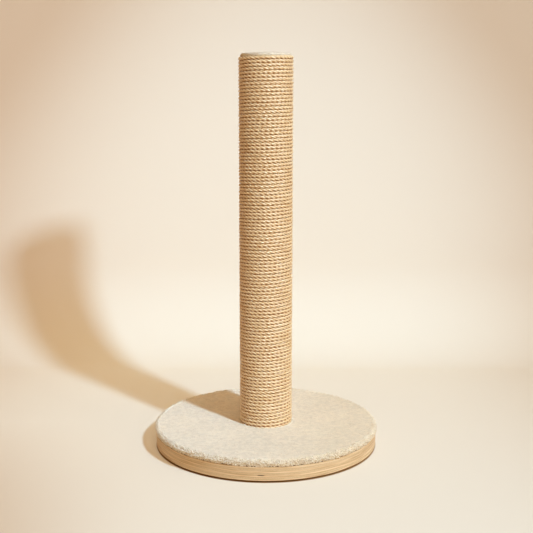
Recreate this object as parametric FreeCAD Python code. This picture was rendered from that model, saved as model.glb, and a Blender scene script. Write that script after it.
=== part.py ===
"""Cat scratching post, in millimetres, standing on Z = 0 with its post on the Z axis.

A cardboard tube, wound with rope from foot to top, is bolted to a round plywood board.
Plush carpet covers the board, a plush cap closes the tube, and stick-on pads carry it all.
Each piece is one STEP file in parts/.
"""

import FreeCAD, Part
import math
import os
from FreeCAD import Vector

# ---------------------------------------------------------------- board and pads
board_diameter = 400.0
board_thickness = 24.0
board_edge_round = 1.5
pad_count = 6
pad_diameter = 30.0
pad_height = 3.0
pad_edge_round = 0.8
pad_inset = 20.0  # from a pad's rim to the board's rim

# ---------------------------------------------------------------- carpet on the board
carpet_thickness = 12.0
carpet_overhang = 0.5  # pile standing past the board's rim
carpet_top_round = 5.0
carpet_seam_round = 2.5  # where the pile rolls under to the glue line
carpet_hole_round = 3.0
soft_clearance = 0.4  # round plush that faces another piece

# ---------------------------------------------------------------- tube and its plugs
tube_bore = 74.0
tube_wall = 4.0
tube_length = 666.5
plug_clearance = 0.3  # all round, between a plug and the bore
lower_plug_thickness = 30.0
upper_plug_thickness = 24.0

# ---------------------------------------------------------------- rope
rope_diameter = 5.5
rope_turn_gap = 0.5  # least gap between one turn and the next
rope_seat_gap = 0.3  # to the tube's wall, and to the level of its two ends
rope_end_bend = 11.0  # radius where a straight end turns into the winding
rope_section_count = 5  # the winding is split into this many nodes
rope_ends_at = 90.0  # degrees about Z from +X: every end is at the back of the post

# ---------------------------------------------------------------- rope tacks
tack_shank_diameter = 1.6
tack_head_diameter = 5.0
tack_head_height = 0.9
tack_hold = 3.4  # how deep the shank stands in the tube's wall
tack_clearance = 0.1

# ---------------------------------------------------------------- plug nails
nails_per_plug = 4
nail_turn = 45.0  # degrees about Z from +X to the first nail
nail_shank_diameter = 1.8
nail_length = 20.0
nail_head_diameter = 4.5
nail_head_height = 1.0
nail_head_depth = 1.3  # how far its seat lies below the tube's surface
nail_clearance = 0.1
lower_nail_level = 12.0  # above the board
upper_nail_level = 12.0  # below the tube's top

# ---------------------------------------------------------------- bolt, washers and tee nut
bolt_diameter = 8.0
bolt_length = 50.0
bolt_tip_chamfer = 1.0
bolt_head_across_flats = 13.0
bolt_head_height = 5.3
bolt_hole_clearance = 0.5
thread_clearance = 0.1
penny_washer_diameter = 30.0
penny_washer_thickness = 1.6
spring_washer_diameter = 14.8
spring_washer_thickness = 2.0
spring_washer_split = 1.5
washer_hole_clearance = 0.2
recess_depth = 10.0  # in the board's underside
recess_clearance = 2.0  # round the penny washer
tee_flange_diameter = 22.0
tee_flange_thickness = 1.5
tee_barrel_diameter = 10.0
tee_barrel_length = 9.0
tee_prong_count = 3
tee_prong_length = 6.0
tee_prong_width = 2.6
tee_prong_thickness = 1.2
tee_fit_clearance = 0.1

# ---------------------------------------------------------------- cap
cap_board_inset = 1.0  # from the tube's outer wall to the board's rim
cap_board_thickness = 2.0
cap_crown = 1.5  # plush above the middle of the cap board
cap_shoulder_drop = 1.0  # from the crown's top to the shoulder
cap_shoulder_inset = 1.0  # from the widest part in to the shoulder
cap_edge_width = 2.6  # the plush's flat lower edge round the board
cap_bulge = 1.0  # how far the side stands out past the lower edge
cap_screw_count = 3
cap_screw_circle = 48.0  # diameter of the circle through the screws
cap_screw_diameter = 3.0
cap_screw_length = 16.0
cap_screw_head_diameter = 6.0
cap_screw_head_height = 1.6
cap_screw_clearance = 0.1

# ---------------------------------------------------------------- levels and radii that follow
board_radius = board_diameter / 2
board_bottom = pad_height
board_top = board_bottom + board_thickness
recess_floor = board_bottom + recess_depth
carpet_top = board_top + carpet_thickness
tube_inner_radius = tube_bore / 2
tube_outer_radius = tube_inner_radius + tube_wall
tube_top = board_top + tube_length
plug_radius = tube_inner_radius - plug_clearance
lower_plug_top = board_top + lower_plug_thickness
upper_plug_bottom = tube_top - upper_plug_thickness

rope_radius = rope_diameter / 2
rope_end_reach = tube_outer_radius + rope_seat_gap + rope_radius  # post axis to a straight end
rope_wind_radius = rope_end_bend + math.hypot(rope_diameter, rope_end_reach - rope_end_bend)
rope_end_angle = math.atan2(rope_diameter, rope_end_reach - rope_end_bend)
rope_start_level = board_top + rope_seat_gap + rope_radius
rope_climb = tube_length - 2 * (rope_seat_gap + rope_radius)
rope_turns = math.floor(rope_climb / (rope_diameter + rope_turn_gap))
rope_pitch = rope_climb / rope_turns
rope_slope = math.atan(rope_pitch / (2 * math.pi * rope_wind_radius))

tack_seat_reach = rope_end_reach + rope_radius + tack_clearance
tack_head_reach = tack_seat_reach + tack_head_height
carpet_hole_radius = tack_head_reach + soft_clearance

spring_washer_top = recess_floor - penny_washer_thickness
bolt_seat = spring_washer_top - spring_washer_thickness

cap_board_radius = tube_outer_radius - cap_board_inset
cap_board_bottom = tube_top
cap_board_top = cap_board_bottom + cap_board_thickness
cap_top = cap_board_top + cap_crown


# ================================================================ plain shapes
def cylinder(diameter, bottom, height):
    """An upright cylinder on the post's axis."""
    return Part.makeCylinder(diameter / 2, height, Vector(0, 0, bottom))


def profile_point(radius, level):
    """A point of a turned profile, in the XZ plane."""
    return Vector(radius, 0, level)


def straight(start, end):
    """A straight edge."""
    return Part.LineSegment(start, end).toShape()


def quarter_round(start, corner, end):
    """A quarter circle that rounds off the corner between two square sides."""
    centre = start + end - corner
    middle = centre + (corner - centre) * (1 / math.sqrt(2))
    return Part.Arc(start, middle, end).toShape()


def turned(edges):
    """A solid of revolution about the post's axis from a closed profile."""
    face = Part.Face(Part.Wire(edges))
    return face.revolve(Vector(0, 0, 0), Vector(0, 0, 1), 360)


def rounded_ring(inner, outer, bottom, top, inner_top_round, outer_top_round, outer_bottom_round):
    """An upright ring between two radii. Each named corner is rounded, and 0 leaves it sharp."""
    corners = [
        (profile_point(inner, bottom), 0),
        (profile_point(outer, bottom), outer_bottom_round),
        (profile_point(outer, top), outer_top_round),
        (profile_point(inner, top), inner_top_round),
    ]
    edges = []
    last = corners[0][0]
    for index in range(1, 5):
        corner, rounding = corners[index % 4]
        before = corners[index - 1][0]
        after = corners[(index + 1) % 4][0]
        arrive = corner + (before - corner).normalize() * rounding
        leave = corner + (after - corner).normalize() * rounding
        edges.append(straight(last, arrive))
        if rounding:
            edges.append(quarter_round(arrive, corner, leave))
        last = leave
    return turned(edges)


def about_axis(shape, degrees):
    """A copy of the shape, turned about the post's axis."""
    copy = shape.copy()
    copy.rotate(Vector(0, 0, 0), Vector(0, 0, 1), degrees)
    return copy


def around(shape, count):
    """That many copies of the shape, evenly spaced about the post's axis."""
    return [about_axis(shape, 360 / count * index) for index in range(count)]


# ================================================================ base
def make_pads():
    """The stick-on pads, each one a short disc with its lower edge rounded."""
    disc = rounded_ring(0, pad_diameter / 2, 0, pad_height, 0, 0, pad_edge_round)
    disc.translate(Vector(board_radius - pad_inset - pad_diameter / 2, 0, 0))
    return around(disc, pad_count)


def make_board():
    """The plywood disc, drilled for the bolt and recessed below for its head and washers."""
    hole_radius = bolt_diameter / 2 + bolt_hole_clearance
    disc = rounded_ring(
        hole_radius, board_radius, board_bottom, board_top, 0, board_edge_round, board_edge_round
    )
    recess_diameter = penny_washer_diameter + 2 * recess_clearance
    return disc.cut(cylinder(recess_diameter, board_bottom, recess_depth))


def make_carpet():
    """The plush ring on the board, with its pile rolled over at the rim and round the post."""
    return rounded_ring(
        carpet_hole_radius,
        board_radius + carpet_overhang,
        board_top,
        carpet_top,
        carpet_hole_round,
        carpet_top_round,
        carpet_seam_round,
    )


# ================================================================ fastenings of the post
def hexagon(across_flats, bottom, height):
    """An upright hexagonal prism on the post's axis."""
    corner_radius = across_flats / math.sqrt(3)
    corners = []
    for index in range(7):
        angle = math.radians(60 * index)
        corners.append(Vector(corner_radius * math.cos(angle), corner_radius * math.sin(angle), bottom))
    return Part.Face(Part.makePolygon(corners)).extrude(Vector(0, 0, height))


def make_bolt():
    """The hexagon bolt, head down in the recess. Its thread is left plain at full diameter."""
    radius = bolt_diameter / 2
    tip = bolt_seat + bolt_length
    shank = Part.makeCylinder(radius, bolt_length - bolt_tip_chamfer, Vector(0, 0, bolt_seat))
    point = Part.makeCone(
        radius, radius - bolt_tip_chamfer, bolt_tip_chamfer, Vector(0, 0, tip - bolt_tip_chamfer)
    )
    head = hexagon(bolt_head_across_flats, bolt_seat - bolt_head_height, bolt_head_height)
    return head.fuse(shank).fuse(point).removeSplitter()


def washer(diameter, bottom, thickness):
    """A flat washer that clears the bolt."""
    hole = cylinder(bolt_diameter + 2 * washer_hole_clearance, bottom, thickness)
    return cylinder(diameter, bottom, thickness).cut(hole)


def make_spring_washer():
    """The washer under the bolt's head, cut through by a slanted split on one side."""
    ring = washer(spring_washer_diameter, bolt_seat, spring_washer_thickness)
    reach = spring_washer_diameter
    split = Part.makeBox(
        reach,
        spring_washer_split,
        4 * spring_washer_thickness,
        Vector(0, -spring_washer_split / 2, -2 * spring_washer_thickness),
    )
    split.rotate(Vector(0, 0, 0), Vector(1, 0, 0), 30)
    split.translate(Vector(0, 0, bolt_seat + spring_washer_thickness / 2))
    return ring.cut(split)


def tee_nut_body(bore_diameter, growth):
    """The tee nut on the lower plug. Grown by a clearance, it is also the space cut for it."""
    barrel = cylinder(
        tee_barrel_diameter + 2 * growth,
        lower_plug_top - tee_barrel_length - growth,
        tee_barrel_length + growth,
    )
    flange = cylinder(tee_flange_diameter, lower_plug_top, tee_flange_thickness)
    prong = Part.makeBox(
        tee_prong_thickness + 2 * growth,
        tee_prong_width + 2 * growth,
        tee_prong_length + growth,
        Vector(
            tee_flange_diameter / 2 - 2 * tee_prong_thickness - growth,
            -tee_prong_width / 2 - growth,
            lower_plug_top - tee_prong_length - growth,
        ),
    )
    body = flange.fuse(barrel).fuse(around(prong, tee_prong_count)).removeSplitter()
    if bore_diameter:
        drill = cylinder(
            bore_diameter,
            lower_plug_top - tee_barrel_length,
            tee_barrel_length + tee_flange_thickness,
        )
        body = body.cut(drill)
    return body


# ================================================================ tube and plugs
def radial_nail(level):
    """A flat-head nail along +X, its head sunk in the tube's wall."""
    seat = tube_outer_radius - nail_head_depth
    outward = Vector(1, 0, 0)
    head = Part.makeCylinder(nail_head_diameter / 2, nail_head_height, Vector(seat, 0, level), outward)
    shank = Part.makeCylinder(
        nail_shank_diameter / 2, nail_length, Vector(seat - nail_length, 0, level), outward
    )
    return head.fuse(shank)


def radial_nail_space(level):
    """What is cut for such a nail, out to past the tube's surface."""
    seat = tube_outer_radius - nail_head_depth
    start = seat - nail_length - nail_clearance
    outward = Vector(1, 0, 0)
    sink = Part.makeCylinder(
        nail_head_diameter / 2 + nail_clearance, 2 * nail_head_depth, Vector(seat, 0, level), outward
    )
    hole = Part.makeCylinder(
        nail_shank_diameter / 2 + nail_clearance, seat - start, Vector(start, 0, level), outward
    )
    return sink.fuse(hole)


def nail_levels():
    """The level of the lower plug's nails and that of the upper plug's."""
    return board_top + lower_nail_level, tube_top - upper_nail_level


def nail_group(level):
    """One plug's nails, turned so that none meets a cap screw or lies under a rope's end."""
    return around(about_axis(radial_nail(level), nail_turn), nails_per_plug)


def nail_spaces(level):
    """What is cut for one plug's nails."""
    return around(about_axis(radial_nail_space(level), nail_turn), nails_per_plug)


def make_tube():
    """The cardboard tube, drilled for the nails and for the two rope tacks."""
    shape = cylinder(2 * tube_outer_radius, board_top, tube_length)
    shape = shape.cut(cylinder(tube_bore, board_top, tube_length))
    lower, upper = nail_levels()
    cuts = nail_spaces(lower) + nail_spaces(upper)
    cuts += [tack_space(False), tack_space(True)]
    return shape.cut(Part.makeCompound(cuts))


def make_lower_plug():
    """The plug that the bolt pulls down, with the tee nut's seat in its top."""
    plug = cylinder(2 * plug_radius, board_top, lower_plug_thickness)
    hole = cylinder(bolt_diameter + 2 * bolt_hole_clearance, board_top, lower_plug_thickness)
    cuts = [hole, tee_nut_body(0, tee_fit_clearance)] + nail_spaces(nail_levels()[0])
    for cut in cuts:
        plug = plug.cut(cut)
    return plug


def make_upper_plug():
    """The plug that the cap is screwed to."""
    plug = cylinder(2 * plug_radius, upper_plug_bottom, upper_plug_thickness)
    for cut in nail_spaces(nail_levels()[1]) + cap_screw_spaces():
        plug = plug.cut(cut)
    return plug


# ================================================================ rope
def rope_heading(angle):
    """The winding's direction at an angle about the post."""
    flat = math.cos(rope_slope)
    return Vector(-math.sin(angle) * flat, math.cos(angle) * flat, math.sin(rope_slope))


def rope_point(angle, reach):
    """A point of the rope's centre line, that far from the post's axis."""
    turned_by = angle - math.radians(rope_ends_at)
    level = rope_start_level + rope_pitch * turned_by / (2 * math.pi)
    return Vector(reach * math.cos(angle), reach * math.sin(angle), level)


def tangent_arc(start, heading, end):
    """The arc that leaves start along heading and reaches end."""
    chord = end - start
    ahead = chord.dot(heading)
    inward = (chord - heading * ahead).normalize()
    aside = chord.dot(inward)
    radius = chord.dot(chord) / (2 * aside)
    half_turn = math.atan2(aside, ahead)
    middle = start + heading * (radius * math.sin(half_turn)) + inward * (radius * (1 - math.cos(half_turn)))
    return Part.Arc(start, middle, end).toShape()


def biarc(start, start_heading, end, end_heading):
    """Two arcs that meet smoothly and keep the heading at both ends."""
    chord = end - start
    both = start_heading + end_heading
    spread = 2 * (1 - start_heading.dot(end_heading))
    along = chord.dot(both)
    reach = (math.sqrt(along * along + spread * chord.dot(chord)) - along) / spread
    meeting = (start + start_heading * reach + end - end_heading * reach) * 0.5
    first = tangent_arc(start, start_heading, meeting)
    second = tangent_arc(end, end_heading * -1, meeting)
    return [first, second]


def rope_route(first_turn, last_turn):
    """The centre line from one turn to another, straight for one diameter at each end."""
    start_angle = math.radians(rope_ends_at) + 2 * math.pi * first_turn
    end_angle = math.radians(rope_ends_at) + 2 * math.pi * last_turn
    start = rope_point(start_angle, rope_end_reach)
    end = rope_point(end_angle, rope_end_reach)
    start_heading = rope_heading(start_angle)
    end_heading = rope_heading(end_angle)
    bend_start = start + start_heading * rope_diameter
    bend_end = end - end_heading * rope_diameter

    angles = [start_angle + rope_end_angle]
    for half_turn in range(2 * first_turn + 1, 2 * last_turn):
        angles.append(math.radians(rope_ends_at) + math.pi * half_turn)
    angles.append(end_angle - rope_end_angle)
    stations = [(bend_start, start_heading)]
    for angle in angles:
        stations.append((rope_point(angle, rope_wind_radius), rope_heading(angle)))
    stations.append((bend_end, end_heading))

    edges = [straight(start, bend_start)]
    for (point, heading), (next_point, next_heading) in zip(stations, stations[1:]):
        edges += biarc(point, heading, next_point, next_heading)
    edges.append(straight(bend_end, end))
    return Part.Wire(edges)


def rope_tube(route):
    """A round tube along the route."""
    start = route.Edges[0].firstVertex().Point
    heading = route.Edges[0].tangentAt(route.Edges[0].FirstParameter)
    section = Part.Wire([Part.Circle(start, heading, rope_radius).toShape()])
    shell = Part.BRepOffsetAPI.MakePipeShell(route)
    shell.add(section)
    shell.build()
    shell.makeSolid()
    return shell.shape()


def rope_splits():
    """The turn at which each length of the winding starts, and the last turn's end."""
    return [rope_turns * index // rope_section_count for index in range(rope_section_count + 1)]


def rope_routes():
    """The centre line of each length of the winding, from the foot up."""
    splits = rope_splits()
    return [rope_route(first, last) for first, last in zip(splits, splits[1:])]


def least_turn_gap(routes):
    """The least gap between one turn and the next, measured on points of the centre line."""
    points_per_turn = 180
    spread = 6  # points before and after the one straight above
    points = []
    for route in routes:
        turns = route.Length / (2 * math.pi * rope_wind_radius)
        points += route.discretize(Number=round(turns * points_per_turn))
    least = rope_pitch
    for index in range(len(points) - points_per_turn - spread):
        above = index + points_per_turn
        for other in range(above - spread, above + spread + 1):
            least = min(least, points[index].distanceToPoint(points[other]))
    return least - rope_diameter


def make_rope(routes):
    """The lengths of the winding. The first and the last are pierced by their tacks."""
    tubes = [rope_tube(route) for route in routes]
    tubes[0] = tubes[0].cut(tack_space(False))
    tubes[-1] = tubes[-1].cut(tack_space(True))
    return tubes


# ================================================================ rope tacks
def tack_frame(upper):
    """Where a tack's axis crosses the rope's straight end, seen along +X, before it is turned."""
    if upper:
        return -rope_radius, rope_start_level + rope_climb
    return rope_radius, rope_start_level


def tack_shape(upper, growth):
    """A tack's shank along +X. Grown by a clearance, it is the hole for it."""
    aside, level = tack_frame(upper)
    start = tube_outer_radius - tack_hold - growth
    return Part.makeCylinder(
        tack_shank_diameter / 2 + growth,
        tack_seat_reach - start,
        Vector(start, aside, level),
        Vector(1, 0, 0),
    )


def tack_space(upper):
    """What is cut for a tack in the rope and in the tube's wall."""
    return about_axis(tack_shape(upper, tack_clearance), rope_ends_at)


def make_tack(upper):
    """A tack with a low domed head on the rope's end."""
    aside, level = tack_frame(upper)
    head_radius = tack_head_diameter / 2
    dome_radius = (head_radius**2 + tack_head_height**2) / (2 * tack_head_height)
    centre = Vector(tack_head_reach - dome_radius, aside, level)
    keep = Part.makeBox(
        dome_radius,
        tack_head_diameter,
        tack_head_diameter,
        Vector(tack_seat_reach, aside - head_radius, level - head_radius),
    )
    head = Part.makeSphere(dome_radius, centre).common(keep)
    return about_axis(tack_shape(upper, 0).fuse(head), rope_ends_at)


# ================================================================ cap
def cap_screw():
    """A countersunk screw in the cap board, before it is moved out to its circle."""
    radius = cap_screw_diameter / 2
    head_top = cap_board_top - cap_screw_clearance
    cone = Part.makeCone(
        radius,
        cap_screw_head_diameter / 2,
        cap_screw_head_height,
        Vector(0, 0, head_top - cap_screw_head_height),
    )
    shank = Part.makeCylinder(
        radius, cap_screw_length - cap_screw_head_height, Vector(0, 0, head_top - cap_screw_length)
    )
    return cone.fuse(shank)


def cap_screw_space():
    """What is cut for such a screw in the cap board and in the upper plug."""
    radius = cap_screw_diameter / 2 + cap_screw_clearance
    sink_bottom = cap_board_top - cap_screw_head_height - cap_screw_clearance
    cone = Part.makeCone(
        radius,
        cap_screw_head_diameter / 2 + cap_screw_clearance,
        cap_screw_head_height + cap_screw_clearance,
        Vector(0, 0, sink_bottom),
    )
    hole_bottom = cap_board_top - 2 * cap_screw_clearance - cap_screw_length
    hole = Part.makeCylinder(radius, sink_bottom - hole_bottom, Vector(0, 0, hole_bottom))
    return cone.fuse(hole)


def on_screw_circle(shape):
    """Copies of the shape at each cap screw's place."""
    shape.translate(Vector(cap_screw_circle / 2, 0, 0))
    return around(shape, cap_screw_count)


def cap_screw_spaces():
    """What is cut for all the cap screws."""
    return on_screw_circle(cap_screw_space())


def make_cap_board():
    """The thin disc that stiffens the cap."""
    disc = cylinder(2 * cap_board_radius, cap_board_bottom, cap_board_thickness)
    for cut in cap_screw_spaces():
        disc = disc.cut(cut)
    return disc


def make_cap_plush():
    """The plush cover: crowned on top, widest at its side and drawn in under its edge."""
    inner = cap_board_radius + soft_clearance
    edge = inner + cap_edge_width
    widest = edge + cap_bulge
    edge_level = cap_board_bottom + soft_clearance
    shoulder_level = cap_top - cap_shoulder_drop
    side_level = (edge_level + shoulder_level) / 2
    middle = profile_point(0, cap_board_top)
    inner_top = profile_point(inner, cap_board_top)
    inner_edge = profile_point(inner, edge_level)
    outer_edge = profile_point(edge, edge_level)
    side = profile_point(widest, side_level)
    shoulder = profile_point(widest - cap_shoulder_inset, shoulder_level)
    crown = profile_point(0, cap_top)
    crown_radius = (shoulder.x**2 + cap_shoulder_drop**2) / (2 * cap_shoulder_drop)
    half_angle = math.asin(shoulder.x / crown_radius) / 2
    crown_middle = profile_point(
        crown_radius * math.sin(half_angle), cap_top - crown_radius * (1 - math.cos(half_angle))
    )
    return turned(
        [
            straight(middle, inner_top),
            straight(inner_top, inner_edge),
            straight(inner_edge, outer_edge),
            Part.Arc(outer_edge, side, shoulder).toShape(),
            Part.Arc(shoulder, crown_middle, crown).toShape(),
            straight(crown, middle),
        ]
    )


# ================================================================ the whole post
def make_nodes(routes):
    """Every node's name and its solid, or its group of separate solids."""
    lower, upper = nail_levels()
    nodes = {"base_board": make_board(), "base_carpet": make_carpet()}
    for number, pad in enumerate(make_pads(), 1):
        nodes[f"grip_pad_{number}"] = pad
    nodes["post_bolt"] = make_bolt()
    nodes["penny_washer"] = washer(penny_washer_diameter, spring_washer_top, penny_washer_thickness)
    nodes["spring_washer"] = make_spring_washer()
    nodes["tee_nut"] = tee_nut_body(bolt_diameter + 2 * thread_clearance, 0)
    nodes["post_tube"] = make_tube()
    nodes["lower_plug"] = make_lower_plug()
    nodes["upper_plug"] = make_upper_plug()
    nodes["lower_plug_nails"] = Part.makeCompound(nail_group(lower))
    nodes["upper_plug_nails"] = Part.makeCompound(nail_group(upper))
    for number, tube in enumerate(make_rope(routes), 1):
        nodes[f"rope_turns_{number}"] = tube
    nodes["rope_tack_lower"] = make_tack(False)
    nodes["rope_tack_upper"] = make_tack(True)
    nodes["cap_board"] = make_cap_board()
    nodes["cap_screws"] = Part.makeCompound(on_screw_circle(cap_screw()))
    nodes["cap_plush"] = make_cap_plush()
    return nodes


def report_rope(routes):
    """Prints the winding's turns, its tightest bend and its least gap to itself."""
    splits = rope_splits()
    most_loops = max(last - first for first, last in zip(splits, splits[1:]))
    length = sum(route.Length for route in routes)
    print(f"rope: {rope_turns} turns in {rope_section_count} nodes, {most_loops} loops at most in one")
    print(f"rope: {length / 1000:.2f} m long, least bend radius {rope_end_bend:.1f}")
    print(f"rope: least gap between turns {least_turn_gap(routes):.3f}")


def main():
    """Builds the post, prints what was made and writes one STEP file for each node."""
    os.makedirs("parts", exist_ok=True)
    routes = rope_routes()
    report_rope(routes)
    for name, shape in make_nodes(routes).items():
        print(f"{name}: {len(shape.Solids)} solid(s), {shape.Volume / 1000:.2f} cm3, valid {shape.isValid()}")
        shape.exportStep(f"parts/{name}.step")


main()
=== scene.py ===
"""Looks of the cat scratching post: its wound rope, plush, plywood and fastenings, in a small studio.

Everything is in metres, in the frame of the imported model: +Z up, the post on the Z axis, -Y the front.
"""

import logging
import math
from collections.abc import Callable, Sequence
from dataclasses import dataclass
from enum import Enum

import bpy
import numpy as np
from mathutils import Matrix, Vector


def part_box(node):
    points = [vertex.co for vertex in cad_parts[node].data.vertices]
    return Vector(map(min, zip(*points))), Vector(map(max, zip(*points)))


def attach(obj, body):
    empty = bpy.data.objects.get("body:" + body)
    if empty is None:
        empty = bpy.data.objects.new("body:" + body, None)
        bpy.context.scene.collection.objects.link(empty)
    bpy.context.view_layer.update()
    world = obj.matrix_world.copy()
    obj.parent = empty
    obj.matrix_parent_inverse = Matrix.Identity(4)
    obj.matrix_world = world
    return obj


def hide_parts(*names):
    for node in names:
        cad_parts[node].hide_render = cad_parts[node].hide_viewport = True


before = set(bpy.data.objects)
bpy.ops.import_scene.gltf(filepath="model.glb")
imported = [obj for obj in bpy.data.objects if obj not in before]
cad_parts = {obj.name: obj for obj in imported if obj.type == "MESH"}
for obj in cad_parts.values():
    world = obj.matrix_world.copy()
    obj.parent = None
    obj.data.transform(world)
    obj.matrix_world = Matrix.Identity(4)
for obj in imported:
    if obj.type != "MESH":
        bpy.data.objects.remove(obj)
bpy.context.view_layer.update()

LOG = logging.getLogger("scratching_post")
BODY = "root"
MM = 0.001
TURN = 2 * math.pi
BAKE_MAP = "OFBake"
FIBRE_MAP = "Fibre"
# Rows of points lie this share of their spacing apart, so that the triangles are about equal-sided.
ROW_SHARE = 0.866
# Keeps a division by a radius safe on the post's axis.
TINY = 1e-6

Socket = bpy.types.NodeSocket
Value = float | Socket
Colour = tuple[float, float, float, float]
Outline = Sequence[tuple[float, float]]
WHITE: Colour = (1.0, 1.0, 1.0, 1.0)


class Slot(Enum):
    """Names of the record's material slots."""

    PLYWOOD = "plywood"
    CARPET = "carpet_plush"
    CAP = "cap_plush"
    SISAL = "sisal_rope"


# ================================================================ colours and node trees
@dataclass(frozen=True)
class Tone:
    """A colour as it looks on a screen, each part from 0 to 255."""

    red: float
    green: float
    blue: float

    def linear(self) -> Colour:
        """The colour as light.

        Returns:
            Red, green, blue and an alpha of 1.
        """
        parts = []
        for part in (self.red, self.green, self.blue):
            share = part / 255
            parts.append(share / 12.92 if share <= 0.04045 else ((share + 0.055) / 1.055) ** 2.4)
        return parts[0], parts[1], parts[2], 1.0


class Graph:
    """A node tree, with short calls for the nodes that the finishes and the lights use."""

    def __init__(self, tree: bpy.types.NodeTree) -> None:
        """Takes the tree that the nodes go in."""
        self.tree = tree

    def add(self, kind: str, **settings: object) -> bpy.types.Node:
        """Adds a node.

        Args:
            kind: The node's type name without its ShaderNode prefix.
            **settings: Values of the node's own properties.

        Returns:
            The new node.
        """
        node = self.tree.nodes.new("ShaderNode" + kind)
        for setting, value in settings.items():
            setattr(node, setting, value)
        return node

    def feed(self, socket: Socket, value: object) -> None:
        """Links a socket to another, or sets its value.

        Args:
            socket: The input to feed.
            value: Another node's output, or a plain value.
        """
        if isinstance(value, bpy.types.NodeSocket):
            self.tree.links.new(value, socket)
        else:
            socket.default_value = value

    def places(self) -> Socket:
        """The surface's places in the object's frame, in metres."""
        return self.add("TexCoord").outputs["Object"]

    def mapped(self, name: str) -> Socket:
        """The surface's places on the named UV map."""
        return self.add("UVMap", uv_map=name).outputs["UV"]

    def attribute(self, name: str) -> Socket:
        """The value of a mesh attribute."""
        return self.add("Attribute", attribute_name=name).outputs["Fac"]

    def stretched(self, where: Socket, scale: tuple[float, float, float]) -> Socket:
        """Places multiplied along each axis.

        Args:
            where: The places.
            scale: The factor along X, Y and Z.

        Returns:
            The stretched places.
        """
        node = self.add("VectorMath", operation="MULTIPLY")
        self.feed(node.inputs[0], where)
        self.feed(node.inputs[1], scale)
        return node.outputs[0]

    def split(self, where: Socket) -> list[Socket]:
        """Takes places apart.

        Args:
            where: The places.

        Returns:
            Their X, Y and Z.
        """
        node = self.add("SeparateXYZ")
        self.feed(node.inputs[0], where)
        return list(node.outputs)

    def joined(self, x: Value, y: Value, z: Value) -> Socket:
        """Makes places, or a colour, of three values.

        Args:
            x: The first value.
            y: The second value.
            z: The third value.

        Returns:
            The places.
        """
        node = self.add("CombineXYZ")
        for socket, value in zip(node.inputs, (x, y, z)):
            self.feed(socket, value)
        return node.outputs[0]

    def noise(self, where: Socket, scale: float, detail: float = 3.0, distortion: float = 0.0) -> Socket:
        """Cloudy noise from 0 to 1.

        Args:
            where: The places.
            scale: Clouds in each unit of length.
            detail: Octaves of finer noise.
            distortion: How far the clouds are swirled.

        Returns:
            The noise.
        """
        node = self.add("TexNoise")
        self.feed(node.inputs["Vector"], where)
        self.feed(node.inputs["Scale"], scale)
        self.feed(node.inputs["Detail"], detail)
        self.feed(node.inputs["Distortion"], distortion)
        return node.outputs[0]

    def cells(self, where: Socket, scale: float) -> Socket:
        """The distance to the middle of the nearest random cell.

        Args:
            where: The places.
            scale: Cells in each unit of length.

        Returns:
            The distance.
        """
        node = self.add("TexVoronoi")
        self.feed(node.inputs["Vector"], where)
        self.feed(node.inputs["Scale"], scale)
        return node.outputs["Distance"]

    def maths(self, operation: str, first: Value, second: Value = 0.0) -> Socket:
        """One sum on values.

        Args:
            operation: The node's name for the sum.
            first: The first value.
            second: The second value.

        Returns:
            The result.
        """
        node = self.add("Math", operation=operation)
        self.feed(node.inputs[0], first)
        self.feed(node.inputs[1], second)
        return node.outputs[0]

    def weighted(self, *parts: tuple[Socket, float]) -> Socket:
        """The sum of some values, each multiplied by its weight.

        Args:
            *parts: Pairs of a value and its weight.

        Returns:
            The sum.
        """
        total = self.maths("MULTIPLY", *parts[0])
        for part in parts[1:]:
            total = self.maths("ADD", total, self.maths("MULTIPLY", *part))
        return total

    def reach(self, x: Value, y: Value) -> Socket:
        """The distance from the origin, across two axes."""
        squares = self.maths("ADD", self.maths("POWER", x, 2.0), self.maths("POWER", y, 2.0))
        return self.maths("SQRT", squares)

    def seen(self) -> Socket:
        """Tells what the camera sees, straight or in a reflection or through glass.

        Returns:
            1 for such rays, and 0 for the light that falls on other surfaces.
        """
        path = self.add("LightPath").outputs
        either = self.maths("MAXIMUM", path["Is Camera Ray"], path["Is Glossy Ray"])
        return self.maths("MAXIMUM", either, path["Is Transmission Ray"])

    def span(
        self, value: Socket, low: float, high: float, to_low: float = 0.0, to_high: float = 1.0
    ) -> Socket:
        """A value moved smoothly from one range to another and held inside it.

        Args:
            value: The value.
            low: What becomes to_low.
            high: What becomes to_high.
            to_low: The new range's start.
            to_high: The new range's end.

        Returns:
            The moved value.
        """
        node = self.add("MapRange", interpolation_type="SMOOTHSTEP")
        for socket, setting in zip(node.inputs, (value, low, high, to_low, to_high)):
            self.feed(socket, setting)
        return node.outputs[0]

    def ramp(self, value: Socket, stops: Sequence[tuple[float, Tone]]) -> Socket:
        """A colour that follows a value.

        Args:
            value: The value.
            stops: Pairs of a value and its colour, in order.

        Returns:
            The colour.
        """
        node = self.add("ValToRGB")
        elements = node.color_ramp.elements
        while len(elements) < len(stops):
            elements.new(1.0)
        for element, (place, tone) in zip(elements, stops):
            element.position = place
            element.color = tone.linear()
        self.feed(node.inputs[0], value)
        return node.outputs[0]

    def mix(self, share: Value, first: object, second: object, blend: str = "MIX") -> Socket:
        """Two colours blended.

        Args:
            share: How much of the second colour there is, from 0 to 1.
            first: The colour below.
            second: The colour on top.
            blend: The way of blending.

        Returns:
            The blended colour.
        """
        node = self.add("Mix", data_type="RGBA", blend_type=blend)
        self.feed(node.inputs[0], share)
        self.feed(node.inputs[6], first)
        self.feed(node.inputs[7], second)
        return node.outputs[2]

    def tint(self, colour: object, other: object) -> Socket:
        """A colour multiplied by another."""
        return self.mix(1.0, colour, other, "MULTIPLY")

    def shade(self, colour: Socket, factor: Value) -> Socket:
        """A colour multiplied by a value."""
        return self.tint(colour, self.joined(factor, factor, factor))

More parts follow.
